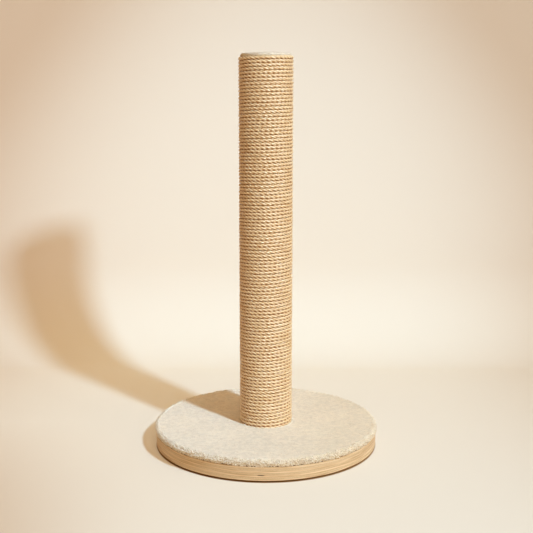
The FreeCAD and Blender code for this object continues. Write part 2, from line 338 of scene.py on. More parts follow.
    def choose(self, share: Value, first: Socket, second: Socket, output: str) -> None:
        """Sends a blend of two shaders to the tree's output.

        Args:
            share: How much of the second shader there is, from 0 to 1.
            first: One shader.
            second: The other shader.
            output: The output node's name.
        """
        blend = self.add("MixShader")
        for socket, value in zip(blend.inputs, (share, first, second)):
            self.feed(socket, value)
        self.feed(self.tree.nodes[output].inputs["Surface"], blend.outputs[0])


class FinishGraph(Graph):
    """A material's node tree, around one principled shader."""

    def __init__(self, name: str, fixed: dict[str, float]) -> None:
        """Starts the material.

        Args:
            name: The material's name.
            fixed: Values of the shader's own sockets, by socket name.
        """
        self.material = bpy.data.materials.new(name)
        self.material.use_nodes = True
        super().__init__(self.material.node_tree)
        self.shader = self.tree.nodes["Principled BSDF"]
        for socket, value in fixed.items():
            self.shader.inputs[socket].default_value = value

    def finish(self, colour: Socket, height: Socket | None = None, relief: float = 0.0) -> bpy.types.Material:
        """Links the shader's colour and bump.

        Args:
            colour: The surface's colour.
            height: The bump's height from 0 to 1, or None where there is no bump.
            relief: The bump's height in metres.

        Returns:
            The finished material.
        """
        self.feed(self.shader.inputs["Base Color"], colour)
        if height is not None:
            bump = self.add("Bump")
            self.feed(bump.inputs["Distance"], relief)
            self.feed(bump.inputs["Height"], height)
            self.feed(self.shader.inputs["Normal"], bump.outputs[0])
        return self.material


# ================================================================ finishes
@dataclass(frozen=True)
class SisalFinish:
    """Natural sisal: glossy fibres in pale and brown streaks along the strands, with painted shade in the
    grooves.
    """

    name: str = "sisal_fibre"
    pale: Tone = Tone(253, 236, 203)
    middle: Tone = Tone(245, 213, 163)
    brown: Tone = Tone(212, 168, 108)
    streak_length: float = 9 * MM
    streak_width: float = 0.42 * MM
    groove_painted_shade: float = 0.89
    groove_painted_shade_tint: Tone = Tone(210, 159, 103)
    relief: float = 0.22 * MM

    def material(self) -> bpy.types.Material:
        """Builds the material from the winding's fibre map and its groove attribute.

        Returns:
            The material.
        """
        gloss = {"Roughness": 0.4, "Specular IOR Level": 0.9, "Coat Weight": 0.42, "Coat Roughness": 0.32}
        graph = FinishGraph(self.name, gloss)
        fibres = graph.mapped(FIBRE_MAP)
        streaks = graph.stretched(fibres, (1 / self.streak_length, 1 / self.streak_width, 1.0))
        fine = graph.noise(streaks, 1.0, 3.0)
        broad = graph.noise(graph.stretched(streaks, (0.25, 0.2, 1.0)), 1.0, 2.0)
        strand = graph.noise(graph.stretched(fibres, (28.0, 160.0, 1.0)), 1.0, 1.0)
        tone = graph.weighted((fine, 0.5), (broad, 0.3), (strand, 0.2))
        colour = graph.ramp(tone, [(0.32, self.brown), (0.5, self.middle), (0.66, self.pale)])
        crest = graph.attribute("crest")
        # Painted shade: darker and warmer deep between strands and turns, from the crest value.
        painted_groove_tint = graph.mix(graph.span(crest, 0.0, 0.45), self.groove_painted_shade_tint.linear(), WHITE)
        colour = graph.tint(colour, painted_groove_tint)
        painted_groove_shade = graph.span(crest, 0.0, 0.5, self.groove_painted_shade, 1.0)
        return graph.finish(graph.shade(colour, painted_groove_shade), fine, self.relief)


@dataclass(frozen=True)
class PlushFinish:
    """Cream cut plush: matt pile, with painted shade darker and warmer between the tufts and towards their
    roots, and painted nap shade towards +X.
    """

    name: str
    tip: Tone = Tone(245, 233, 212)
    root: Tone = Tone(208, 180, 140)
    painted_nap_shade: Tone = Tone(245, 238, 227)
    painted_nap_shade_from: float = -0.14
    painted_nap_shade_to: float = 0.19
    blotch: float = 0.055
    blotch_size: float = 7 * MM
    cloud_size: float = 60 * MM
    grain: float = 1.1 * MM
    relief: float = 0.35 * MM

    def material(self) -> bpy.types.Material:
        """Builds the material from the pile attribute and the places.

        Returns:
            The material.
        """
        graph = FinishGraph(self.name, {"Roughness": 0.95, "Specular IOR Level": 0.12, "Sheen Weight": 0.25})
        places = graph.places()
        fine = graph.noise(places, 1 / self.grain, 2.0)
        patches = graph.noise(places, 1 / self.blotch_size, 3.0, 0.4)
        clouds = graph.noise(places, 1 / self.cloud_size, 2.0)
        # Painted shade: the pile value darkens and warms the plush between its tufts and at their roots.
        pile = graph.span(graph.attribute("pile"), 0.0, 0.8)
        colour = graph.ramp(graph.weighted((pile, 0.7), (fine, 0.6)), [(0.1, self.root), (0.8, self.tip)])
        lightness = graph.span(patches, 0.3, 0.7, 1 - 1.3 * self.blotch, 1 + self.blotch)
        spread = graph.span(clouds, 0.3, 0.7, 1 - self.blotch, 1.0)
        level = graph.maths("MULTIPLY", lightness, spread)
        # Painted shade: the plush is darker and warmer towards +X, for the nap's sheen.
        across = graph.span(graph.split(places)[0], self.painted_nap_shade_from, self.painted_nap_shade_to)
        colour = graph.tint(colour, graph.mix(across, WHITE, self.painted_nap_shade.linear()))
        return graph.finish(graph.shade(colour, level), fine, self.relief)


@dataclass(frozen=True)
class PlywoodFinish:
    """Bare birch plywood: plies along the rim, the face veneer's grain above and below, and painted shade in
    the core gap.
    """

    name: str
    bottom: float
    ply: float
    warp: float = 1.2 * MM
    pale: Tone = Tone(238, 209, 169)
    middle: Tone = Tone(226, 192, 148)
    dark: Tone = Tone(190, 152, 107)

    def material(self) -> bpy.types.Material:
        """Builds the material from places on the board, its ply thickness and its hollow attribute, which
        paints shade in the core gap.

        Returns:
            The material.
        """
        graph = FinishGraph(self.name, {"Roughness": 0.55, "Specular IOR Level": 0.3})
        places = graph.places()
        x, y, z = graph.split(places)
        warp = graph.noise(graph.stretched(places, (1.0, 1.0, 4.0)), 14.0, 3.0)
        level = graph.maths("ADD", z, graph.maths("MULTIPLY", graph.maths("SUBTRACT", warp, 0.5), self.warp))
        layer = graph.maths("DIVIDE", graph.maths("SUBTRACT", level, self.bottom), self.ply)
        phase = graph.maths("FRACT", layer)
        odd = graph.maths("MODULO", graph.maths("FLOOR", layer), 2.0)
        near = graph.maths("ABSOLUTE", graph.maths("SUBTRACT", phase, 0.5))
        glue = graph.span(near, 0.36, 0.5)
        rim_grain = graph.noise(graph.joined(x, y, graph.maths("MULTIPLY", level, 40.0)), 20.0, 4.0, 0.15)
        end_grain = graph.noise(graph.stretched(places, (1.0, 1.0, 1.6)), 620.0, 3.0)
        face_grain = graph.noise(graph.stretched(places, (14.0, 180.0, 60.0)), 1.0, 5.0, 1.5)
        long_tone = graph.ramp(rim_grain, [(0.3, self.dark), (0.48, self.middle), (0.62, self.pale)])
        end_tone = graph.ramp(end_grain, [(0.25, self.dark), (0.5, self.middle), (0.75, self.pale)])
        face_tone = graph.ramp(face_grain, [(0.3, self.dark), (0.5, self.middle), (0.68, self.pale)])
        rim = graph.mix(graph.maths("MULTIPLY", odd, 0.5), long_tone, end_tone)
        rim = graph.shade(rim, graph.maths("SUBTRACT", 1.0, graph.maths("MULTIPLY", odd, 0.08)))
        rim = graph.shade(rim, graph.span(glue, 0.0, 1.0, 1.0, 0.8))
        upright = graph.split(graph.add("NewGeometry").outputs["Normal"])[2]
        colour = graph.mix(graph.span(graph.maths("ABSOLUTE", upright), 0.7, 0.9), rim, face_tone)
        # Painted shade: the core gap darkened to about a fifth.
        hollow = graph.span(graph.attribute("hollow"), 0.0, 1.0, 1.0, 0.22)
        return graph.finish(graph.shade(colour, hollow), rim_grain, 0.12 * MM)


@dataclass(frozen=True)
class GrainFinish:
    """Turned pine: rings about a pith that lies beside the piece, with fine pores."""

    name: str
    pale: Tone = Tone(226, 196, 150)
    dark: Tone = Tone(190, 150, 100)
    pith_offset: float = 60 * MM

    def material(self) -> bpy.types.Material:
        """Builds the material from places.

        Returns:
            The material.
        """
        graph = FinishGraph(self.name, {"Roughness": 0.7})
        places = graph.places()
        x, y, _z = graph.split(places)
        from_pith = graph.reach(graph.maths("ADD", x, self.pith_offset), y)
        wobble = graph.noise(places, 60.0, 3.0)
        rings = graph.maths("SINE", graph.weighted((from_pith, 2200.0), (wobble, 5.0)))
        colour = graph.ramp(graph.span(rings, -1.0, 1.0), [(0.1, self.pale), (0.9, self.dark)])
        pores = graph.noise(places, 1500.0, 2.0)
        return graph.finish(graph.shade(colour, graph.span(pores, 0.3, 0.7, 0.92, 1.03)), pores, 0.05 * MM)


@dataclass(frozen=True)
class BoardFinish:
    """Pressed fibre: paper or wood fibres in two tones, with an optional spiral seam round a tube."""

    name: str
    pale: Tone
    dark: Tone
    spiral_pitch: float = 0.0

    def material(self) -> bpy.types.Material:
        """Builds the material from places.

        Returns:
            The material.
        """
        graph = FinishGraph(self.name, {"Roughness": 0.88})
        places = graph.places()
        fibres = graph.noise(places, 900.0, 4.0)
        clouds = graph.noise(places, 55.0, 3.0)
        tone = graph.weighted((fibres, 0.6), (clouds, 0.4))
        colour = graph.ramp(tone, [(0.35, self.dark), (0.62, self.pale)])
        if self.spiral_pitch:
            x, y, z = graph.split(places)
            turn = graph.maths("DIVIDE", graph.maths("ARCTAN2", y, x), TURN)
            risen = graph.maths("DIVIDE", z, self.spiral_pitch)
            phase = graph.maths("FRACT", graph.maths("ADD", turn, risen))
            colour = graph.shade(colour, graph.span(phase, 0.0, 0.02, 0.7, 1.0))
        return graph.finish(colour, fibres, 0.06 * MM)


@dataclass(frozen=True)
class SteelFinish:
    """Bright zinc plating: crystal spangle, fine scuffs and a grey cast."""

    name: str = "zinc_plating"

    def material(self) -> bpy.types.Material:
        """Builds the material from places.

        Returns:
            The material.
        """
        graph = FinishGraph(self.name, {"Metallic": 1.0, "Roughness": 0.32})
        places = graph.places()
        spangle = graph.cells(places, 420.0)
        scuffs = graph.noise(graph.stretched(places, (1.0, 1.0, 6.0)), 700.0, 3.0)
        tone = graph.weighted((spangle, 0.5), (scuffs, 0.5))
        colour = graph.ramp(tone, [(0.2, Tone(206, 206, 203)), (0.7, Tone(172, 173, 174))])
        graph.feed(graph.shader.inputs["Roughness"], graph.span(scuffs, 0.3, 0.7, 0.24, 0.46))
        return graph.finish(colour, scuffs, 0.02 * MM)


@dataclass(frozen=True)
class RubberFinish:
    """Dark foam rubber, a little dusty, with fine pores."""

    name: str = "grip_rubber"

    def material(self) -> bpy.types.Material:
        """Builds the material from places.

        Returns:
            The material.
        """
        graph = FinishGraph(self.name, {"Roughness": 0.85, "Specular IOR Level": 0.3})
        places = graph.places()
        pores = graph.cells(places, 1600.0)
        dust = graph.noise(places, 90.0, 4.0)
        colour = graph.ramp(dust, [(0.35, Tone(46, 38, 33)), (0.7, Tone(78, 68, 60))])
        return graph.finish(graph.shade(colour, graph.span(pores, 0.05, 0.4, 0.75, 1.0)), pores, 0.08 * MM)


# ================================================================ shapes
def unit(rows: np.ndarray) -> np.ndarray:
    """Each row as a vector of length 1."""
    return rows / np.linalg.norm(rows, axis=1)[:, None]


def around(radius: np.ndarray | float, angle: np.ndarray, level: np.ndarray) -> np.ndarray:
    """Points by their distance from the post's axis, their angle about it and their height."""
    return np.stack([radius * np.cos(angle), radius * np.sin(angle), level], axis=1)


def resampled(path: Outline, spacing: float, extra: int = 0) -> list[tuple[float, float]]:
    """Puts new points along a line, evenly spaced.

    Args:
        path: The line's points.
        spacing: About how far the new points lie apart.
        extra: How many points more there are than the line has such steps.

    Returns:
        The new points.
    """
    line = np.array(path)
    lengths = np.concatenate([[0], np.cumsum(np.linalg.norm(np.diff(line, axis=0), axis=1))])
    places = np.linspace(0, lengths[-1], max(2, round(lengths[-1] / spacing) + extra))
    return list(zip(np.interp(places, lengths, line[:, 0]), np.interp(places, lengths, line[:, 1])))


class Waves:
    """Smooth, repeatable unevenness: sines whose phases and directions are seeded."""

    def __init__(self, seed: int, lengths: Sequence[float], axes: int = 1) -> None:
        """Chooses the sines.

        Args:
            seed: The seed of the random draws.
            lengths: Each sine's wavelength in metres.
            axes: How many coordinates a place has.
        """
        draw = np.random.default_rng(seed)
        ways = unit(draw.normal(size=(len(lengths), axes)))
        self.rates = ways * (TURN / np.array(lengths))[:, None]
        self.phases = draw.uniform(0, TURN, len(lengths))

    def at(self, places: np.ndarray) -> np.ndarray:
        """The unevenness at some places.

        Args:
            places: One row of coordinates for each place, or one number where there is one axis.

        Returns:
            A value for each place, mostly between -1 and 1.
        """
        rows = places[:, None] if places.ndim == 1 else places
        angles = rows @ self.rates.T + self.phases
        return np.sin(angles).sum(axis=1) / math.sqrt(len(self.phases))


class Tufts:
    """Pile tufts as random cells in space: each place learns how near it is to a tuft's middle."""

    def __init__(self, seed: int, pitch: float) -> None:
        """Chooses the cells.

        Args:
            seed: The seed of the random draws.
            pitch: The distance from one tuft to the next, in metres.
        """
        self.seed = seed
        self.pitch = pitch

    def _draws(self, cell: np.ndarray, salt: int) -> np.ndarray:
        """A repeatable random number from 0 to 1 for each cell.

        Args:
            cell: Whole-number coordinates, one row for each cell.
            salt: Makes one set of numbers differ from another.

        Returns:
            The numbers.
        """
        mixed = cell[:, 0] * 73856093 ^ cell[:, 1] * 19349663 ^ cell[:, 2] * 83492791
        mixed = (mixed ^ (self.seed * 2654435761 + salt * 97531)) & 0xFFFFFFFF
        mixed = (mixed ^ (mixed >> 15)) * 2246822519 & 0xFFFFFFFF
        mixed = (mixed ^ (mixed >> 13)) * 3266489917 & 0xFFFFFFFF
        return ((mixed ^ (mixed >> 16)) & 0xFFFFFF) / 0x1000000

    def at(self, places: np.ndarray) -> tuple[np.ndarray, np.ndarray]:
        """How high the pile stands at some places.

        Args:
            places: One row of three coordinates for each place.

        Returns:
            For each place, 0 between tufts to 1 at a tuft's middle, and its tuft's own random number.
        """
        scaled = places / self.pitch
        home = np.floor(scaled).astype(np.int64)
        best = np.full(len(places), 9.0)
        second = np.full(len(places), 9.0)
        owner = np.zeros(len(places))
        for step in np.ndindex(3, 3, 3):
            cell = home + np.array(step) - 1
            middle = cell + np.stack([self._draws(cell, salt) for salt in range(3)], axis=1)
            gap = np.linalg.norm(scaled - middle, axis=1)
            nearer = gap < best
            second = np.where(nearer, best, np.minimum(second, gap))
            owner = np.where(nearer, self._draws(cell, 3), owner)
            best = np.where(nearer, gap, best)
        rise = np.clip((second - best) / 0.55, 0, 1)
        return rise * (2 - rise), owner


def make_piece(
    name: str, points: np.ndarray, faces: Sequence[np.ndarray], finish: bpy.types.Material
) -> bpy.types.Object:
    """Makes a smooth-shaded mesh object and adds it to the scene.

    Args:
        name: The piece's name.
        points: One row of three coordinates for each point, in metres.
        faces: Arrays of point numbers, one row for each face, with as many columns as it has corners.
        finish: The piece's material.

    Returns:
        The new object.
    """
    corners = np.concatenate([part.ravel() for part in faces])
    sizes = np.concatenate([np.full(len(part), part.shape[1]) for part in faces])
    mesh = bpy.data.meshes.new(name)
    mesh.vertices.add(len(points))
    mesh.vertices.foreach_set("co", points.astype(np.float32).ravel())
    mesh.loops.add(len(corners))
    mesh.loops.foreach_set("vertex_index", corners.astype(np.int32))
    mesh.polygons.add(len(sizes))
    mesh.polygons.foreach_set("loop_start", (np.cumsum(sizes) - sizes).astype(np.int32))
    mesh.update(calc_edges=True)
    mesh.shade_smooth()
    mesh.materials.append(finish)
    piece = bpy.data.objects.new(name, mesh)
    bpy.context.scene.collection.objects.link(piece)
    return piece


def add_value(piece: bpy.types.Object, name: str, values: np.ndarray) -> None:
    """Stores a value for each point of a piece.

    Args:
        piece: The piece.
        name: The attribute's name.
        values: One value for each point.
    """
    attribute = piece.data.attributes.new(name, "FLOAT", "POINT")
    attribute.data.foreach_set("value", values.astype(np.float32))


def add_map(piece: bpy.types.Object, name: str, places: np.ndarray) -> None:
    """Adds a UV map.

    Args:
        piece: The piece.
        name: The map's name.
        places: One row of two coordinates for each face corner.
    """
    layer = piece.data.uv_layers.new(name=name, do_init=False)
    layer.uv.foreach_set("vector", places.astype(np.float32).ravel())


@dataclass(frozen=True)
class Ring:
    """One circle of points of a turned form.

    Attributes:
        radius: Its distance from the post's axis.
        level: Its height.
        count: How many points it has.
    """

    radius: float
    level: float
    count: int


def stitch(first: int, first_count: int, second: int, second_count: int) -> np.ndarray:
    """Triangles between two circles of evenly spaced points that needn't be equally many.

    Args:
        first: The number of the first circle's first point.
        first_count: How many points the first circle has.
        second: The number of the second circle's first point.
        second_count: How many points the second circle has.

    Returns:
        One row of three point numbers for each triangle.
    """
    own = (np.arange(first_count) + 1) / first_count
    other = (np.arange(second_count) + 1) / second_count
    across = np.searchsorted(other, own - 1e-12)
    back = np.searchsorted(own, other + 1e-12)
    steps = np.arange(first_count)
    other_steps = np.arange(second_count)
    along = [first + steps, first + (steps + 1) % first_count, second + across % second_count]
    return_way = [second + (other_steps + 1) % second_count, second + other_steps, first + back % first_count]
    return np.concatenate([np.stack(along, axis=1), np.stack(return_way, axis=1)])


def turned_form(rings: Sequence[Ring], closed: bool) -> tuple[np.ndarray, np.ndarray]:
    """The points and triangles of a turned form whose outline runs through the rings.

    Args:
        rings: The circles, in order, so that the outside lies to the outline's left.
        closed: Whether the last ring joins the first.

    Returns:
        The points and the triangles.
    """
    points, starts = [], [0]
    for ring in rings:
        angles = TURN * np.arange(ring.count) / ring.count
        points.append(around(ring.radius, angles, np.full(ring.count, ring.level)))
        starts.append(starts[-1] + ring.count)
    pairs = list(zip(range(len(rings)), range(1, len(rings))))
    if closed:
        pairs.append((len(rings) - 1, 0))
    faces = [stitch(starts[a], rings[a].count, starts[b], rings[b].count) for a, b in pairs]
    return np.concatenate(points), np.concatenate(faces)


def outline_points(
    corners: Sequence[tuple[float, float, float]], spacing: float
) -> list[tuple[float, float]]:
    """Points along a turned form's outline, evenly spaced, with round corners.

    Args:
        corners: Radius, level and rounding of each corner, in order. The ends have no rounding.
        spacing: The distance from one point to the next.

    Returns:
        The points as radius and level.
    """
    path = [np.array(corners[0][:2])]
    for before, here, after in zip(corners, corners[1:], corners[2:]):
        corner = np.array(here[:2])
        back = np.array(before[:2]) - corner
        ahead = np.array(after[:2]) - corner
        enter = corner + back / np.linalg.norm(back) * here[2]
        leave = corner + ahead / np.linalg.norm(ahead) * here[2]
        centre = enter + leave - corner
        for share in np.linspace(0, 1, 9):
            angle = share * math.pi / 2
            path.append(centre + (enter - centre) * math.cos(angle) + (leave - centre) * math.sin(angle))
    path.append(np.array(corners[-1][:2]))
    return resampled(path, spacing, 1)


@dataclass(frozen=True)
class Spikes:
    """Many thin tapered fibres or tufts in one mesh, each bent along its own curve.

    Attributes:
        roots: Where each one starts.
        ways: The way each one leaves, as unit vectors.
        bends: What is added to each one's way by its tip.
        lengths: How long each one is.
        widths: How thick each one is at its root.
        sides: How many sides each one has.
        belly: The width at half length, as a share of the root's.
    """

    roots: np.ndarray
    ways: np.ndarray
    bends: np.ndarray
    lengths: np.ndarray
    widths: np.ndarray
    sides: int = 3
    belly: float = 0.8

    def build(self, steps: int = 3) -> tuple[np.ndarray, np.ndarray, np.ndarray]:
        """Builds the mesh data.

        Args:
            steps: How many rings of points each spike has below its tip.

        Returns:
            The points, the triangles, and each point's share of its spike's length.
        """
        count = len(self.roots)
        helper = np.where(np.abs(self.ways[:, 2:3]) < 0.9, [[0.0, 0.0, 1.0]], [[1.0, 0.0, 0.0]])
        side = unit(np.cross(self.ways, helper))
        other = np.cross(self.ways, side)
        points = np.empty((count, steps * self.sides + 1, 3))
        shares = np.empty((count, steps * self.sides + 1))
        for step in range(steps):
            share = step / steps
            centre = self.roots + (self.ways * share + self.bends * share**2) * self.lengths[:, None]
            width = 1 + (self.belly - 1) * min(1, 2 * share) - self.belly * max(0, 2 * share - 1) * 0.6
            for number in range(self.sides):
                angle = TURN * number / self.sides
                reach = side * math.cos(angle) + other * math.sin(angle)
                points[:, step * self.sides + number] = centre + reach * (self.widths * width / 2)[:, None]
                shares[:, step * self.sides + number] = share
        points[:, -1] = self.roots + (self.ways + self.bends) * self.lengths[:, None]
        shares[:, -1] = 1
        one = []
        for number in range(self.sides):
            following = (number + 1) % self.sides
            for step in range(steps - 1):
                low = step * self.sides
                high = low + self.sides
                one.append((low + number, low + following, high + following))
                one.append((low + number, high + following, high + number))
            last = (steps - 1) * self.sides
            one.append((last + number, last + following, steps * self.sides))
        for number in range(1, self.sides - 1):
            one.append((0, number + 1, number))
        size = steps * self.sides + 1
        faces = np.array(one)[None, :, :] + (np.arange(count) * size)[:, None, None]
        return points.reshape(-1, 3), faces.reshape(-1, 3), shares.ravel()


# ================================================================ the rope
@dataclass
class SisalWinding:
    """The three-strand rope, wound round the tube from the board to the cap."""

    turns: int = 110
    lengths: int = 5
    ends_at: float = math.radians(90)
    wound_radius: float = 44.5 * MM
    cad_rope_radius: float = 2.75 * MM
    strand_radius: float = 1.72 * MM
    strand_reach: float = 1.5 * MM
    groove_reach: float = 0.7 * MM
    marks_per_turn: float = 33.9
    points_per_strand: int = 6
    rings_per_lay: int = 12
    fibre_lean: float = 0.75
    fibre_radius: float = 2.6 * MM
    twist_drift: float = 0.9
    swell_share: float = 0.035
    wander_out: float = 0.08 * MM
    wander_up: float = 0.072 * MM
    tack_inset: float = 2.75 * MM
    tack_grip: float = 3.2 * MM
    tack_depth: float = 0.5 * MM
    tack_squash: float = 0.12
    whisker_count: int = 4200
    whisker_turns: tuple[float, float] = (2.1, 0.4)
    whisker_spread: float = 1.1
    whisker_sink: float = 0.35 * MM
    whisker_lengths: tuple[float, float] = (1.5 * MM, 12 * MM)
    whisker_widths: tuple[float, float] = (0.1 * MM, 0.2 * MM)
    seed: int = 11

    def __post_init__(self) -> None:
        """Takes the winding's ends from the frame and draws its unevenness."""
        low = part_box("rope_turns_1")[0].z
        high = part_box(f"rope_turns_{self.lengths}")[1].z
        self.start = low + self.cad_rope_radius
        self.pitch = (high - low - 2 * self.cad_rope_radius) / self.turns
        self.girth = TURN * self.wound_radius
        self.lay = 3 * self.girth / self.marks_per_turn
        self.drift = Waves(self.seed, (0.9, 1.7, 3.1, 6.3))
        self.sway = Waves(self.seed + 1, (0.055, 0.13, 0.31, 0.74))
        self.heave = Waves(self.seed + 2, (0.07, 0.16, 0.37, 0.9))
        self.swell = [Waves(self.seed + 3 + strand, (0.011, 0.019, 0.043, 0.12)) for strand in range(3)]

    def outline(self) -> tuple[np.ndarray, np.ndarray]:
        """The rope's section: three round strands, pressed together.

        Returns:
            Each point's angle in the section and its distance from the rope's middle.
        """
        angles = TURN * np.arange(3 * self.points_per_strand) / (3 * self.points_per_strand)
        beside = (angles + math.pi / 3) % (TURN / 3) - math.pi / 3
        across = self.strand_reach * np.sin(beside)
        reach = self.strand_reach * np.cos(beside) + np.sqrt(self.strand_radius**2 - across**2)
        return angles, reach

    def squeeze(self, along: np.ndarray) -> np.ndarray:
        """How far the two tacks press the rope in.

        Args:
            along: Distances along the rope from its lower end.

        Returns:
            A share from 0 to 1 for each of them.
        """
        length = self.turns * self.girth
        lower = np.exp(-(((along - self.tack_inset) / self.tack_grip) ** 2))
        upper = np.exp(-(((along - length + self.tack_inset) / self.tack_grip) ** 2))
        return lower + upper

    def frames(self, turn: np.ndarray) -> tuple[np.ndarray, np.ndarray, np.ndarray, np.ndarray]:
        """The rope's middle and its directions at places along the winding.

        Args:
            turn: How many turns each place lies from the foot.

        Returns:
            The middle, the way out from the post, the way across the rope and the way along it.
        """
        along = turn * self.girth
        angle = self.ends_at + TURN * turn
        sway = self.wander_out * self.sway.at(along)
        radius = self.wound_radius + sway - self.tack_depth * self.squeeze(along)
        ease = np.clip(np.minimum(turn, self.turns - turn) / 0.5, 0, 1)
        level = self.start + self.pitch * turn + self.wander_up * self.heave.at(along) * ease
        out = around(1.0, angle, np.zeros_like(angle))
        slope = self.pitch / self.girth
        ahead = np.stack([-np.sin(angle), np.cos(angle), np.full_like(angle, slope)], axis=1)
        ahead /= math.hypot(1, slope)
        across = np.cross(out, ahead)
        return around(radius, angle, level), out, across, ahead

    def skin(self, turn: np.ndarray) -> tuple[np.ndarray, np.ndarray, np.ndarray]:
        """Points on the rope's surface.

        Args:
            turn: Where each ring of points lies, in turns from the foot.

        Returns:
            The points, one row of rings by one column for each section point, each point's
            distance from the rope's middle, and its angle about the rope from the way out.
        """
        angles, reach = self.outline()
        along = turn * self.girth
        middle, out, across, _ahead = self.frames(turn)
        twist = -TURN * along / self.lay + self.twist_drift * self.drift.at(along)
        strand = (np.arange(len(angles)) + self.points_per_strand // 2) // self.points_per_strand % 3
        swell = np.stack([wave.at(along) for wave in self.swell], axis=1)[:, strand]
        pressed = 1 - self.tack_squash * self.squeeze(along)
        size = reach[None, :] * (1 + self.swell_share * swell) * pressed[:, None]
        facing = angles[None, :] + twist[:, None]
        points = middle[:, None, :] + size[..., None] * (
            np.cos(facing)[..., None] * out[:, None, :] + np.sin(facing)[..., None] * across[:, None, :]
        )
        return points, size, facing

    def crest(self, points: np.ndarray, size: np.ndarray, facing: np.ndarray, turn: np.ndarray) -> np.ndarray:
        """How openly each point lies, from 0 deep between strands or turns to 1 on an outer crest.

        Args:
            points: The rope's surface points.
            size: Each point's distance from the rope's middle.
            facing: Each point's angle about the rope, from 0 outwards to a quarter turn upwards.
            turn: Where each ring of points lies, in turns from the foot.

        Returns:
            One value for each point, from which the rope's finish paints shade in the grooves.
        """
        strand = np.clip((size - size.min()) / (size.max() - size.min()), 0, 1)
        reach = np.hypot(points[..., 0], points[..., 1]) - self.wound_radius
        crown = self.strand_reach + self.strand_radius
        bare = np.clip((reach - self.groove_reach) / (crown - self.groove_reach), 0, 1)
        topmost = np.clip(turn - self.turns + 1.1, 0, 0.1)[:, None] * 10
        bare = np.maximum(bare, topmost * np.clip(np.sin(facing), 0, 1))
        return (bare * (0.3 + 0.7 * strand)).ravel()

    def length_piece(self, number: int, finish: bpy.types.Material) -> bpy.types.Object:
        """Builds one length of the winding.

        Args:
            number: Which length it is, from 1 at the foot.
            finish: The rope's material.

        Returns:
            The piece.
        """
        first = self.turns * (number - 1) // self.lengths
        last = self.turns * number // self.lengths
        count = round((last - first) * self.girth / self.lay * self.rings_per_lay)
        turn = np.linspace(first, last, count + 1)
        points, size, facing = self.skin(turn)
        sides = points.shape[1]
        ring = np.arange(count)[:, None] * sides
        side = np.arange(sides)[None, :]
        after = (side + 1) % sides
        quads = np.stack([ring + side, ring + sides + side, ring + sides + after, ring + after], axis=-1)
        middles = self.frames(turn[[0, -1]])[0]
        flat = points.reshape(-1, 3)
        start_cap = np.stack([np.full(sides, len(flat)), side[0], after[0]], axis=1)
        last_ring = count * sides
        end_cap = np.stack([np.full(sides, len(flat) + 1), last_ring + after[0], last_ring + side[0]], axis=1)
        faces = [quads.reshape(-1, 4), start_cap, end_cap]
        piece = make_piece(f"sisal_winding_{number}", np.concatenate([flat, middles]), faces, finish)
        add_value(piece, "crest", np.concatenate([self.crest(points, size, facing, turn), [0.5, 0.5]]))
        self.add_maps(piece, turn, first, last, sides)
        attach(piece, BODY)
        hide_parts(f"rope_turns_{number}")
        return piece

    def add_maps(self, piece: bpy.types.Object, turn: np.ndarray, first: int, last: int, sides: int) -> None:
        """Adds the fibre map, and one strip a turn for baking.

        Args:
            piece: A length of the winding.
            turn: Where its rings lie.
            first: The turn that it starts at.
            last: The turn that it ends at.
            sides: How many points a ring has.
        """
        start, end = turn[:-1, None], turn[1:, None]
        side = np.arange(sides)[None, :]
        ends = [start, end, end, start]
        edges = [side, side, side + 1, side + 1]
        strip = np.floor((start + end) / 2 - first)
        step = turn[1] - turn[0]
        fibre, strips = [], []
        for place, edge in zip(ends, edges):
            along = place * self.girth + 0 * edge
            share = edge / sides
            lean = self.fibre_lean * along / self.lay
            fibre.append(np.stack([along, (share - lean) * TURN * self.fibre_radius], axis=-1))
            within = (place - first - strip + step) / (1 + 2 * step)
            row = (strip + 0.04 + 0.92 * share) / (last - first)
            strips.append(np.stack([within + 0 * edge, row + 0 * place], axis=-1))
        spare = np.zeros((6 * sides, 2))
        add_map(piece, FIBRE_MAP, np.concatenate([np.stack(fibre, axis=2).reshape(-1, 2), spare]))
        add_map(piece, BAKE_MAP, np.concatenate([np.stack(strips, axis=2).reshape(-1, 2), spare]))

    def whiskers(self, finish: bpy.types.Material) -> bpy.types.Object:
        """Builds the loose fibres that stand off the rope.

        Args:
            finish: The rope's material.

        Returns:
            The piece.
        """
        draw = np.random.default_rng(self.seed + 20)
        below, above = self.whisker_turns
        turn = draw.uniform(below, self.turns - above, self.whisker_count)
        middle, out, across, ahead = self.frames(turn)
        facing = draw.uniform(-self.whisker_spread, self.whisker_spread, self.whisker_count)
        normal = np.cos(facing)[:, None] * out + np.sin(facing)[:, None] * across
        roots = middle + normal * (self.strand_reach + self.strand_radius - self.whisker_sink)
        lean = draw.uniform(-1, 1, self.whisker_count)
        ways = ahead * np.sign(lean)[:, None] + 0.6 * np.abs(lean)[:, None] * normal
        ways = unit(ways + draw.normal(scale=0.28, size=ways.shape))
        bends = draw.normal(scale=0.3, size=ways.shape) - 0.15 * normal
        shortest, longest = self.whisker_lengths
        lengths = draw.gamma(3.0, shortest, self.whisker_count).clip(shortest, longest)
        widths = draw.uniform(*self.whisker_widths, self.whisker_count)
        points, faces, shares = Spikes(roots, ways, bends, lengths, widths).build()
        piece = make_piece("sisal_whiskers", points, [faces], finish)
        add_value(piece, "crest", 0.6 + 0.4 * shares)
        corners = faces.ravel()
        spike = corners // (len(points) // self.whisker_count)
        across_map = spike * 0.0017 + shares[corners] * 0.0002
        add_map(piece, FIBRE_MAP, np.stack([spike * 0.013, across_map], axis=1))
        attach(piece, BODY)
        return piece

    def build(self) -> list[bpy.types.Object]:
        """Builds every length of the winding and its loose fibres.

        Returns:
            The pieces.
        """
        finish = SisalFinish().material()
        pieces = [self.length_piece(number, finish) for number in range(1, self.lengths + 1)]
        return pieces + [self.whiskers(finish)]


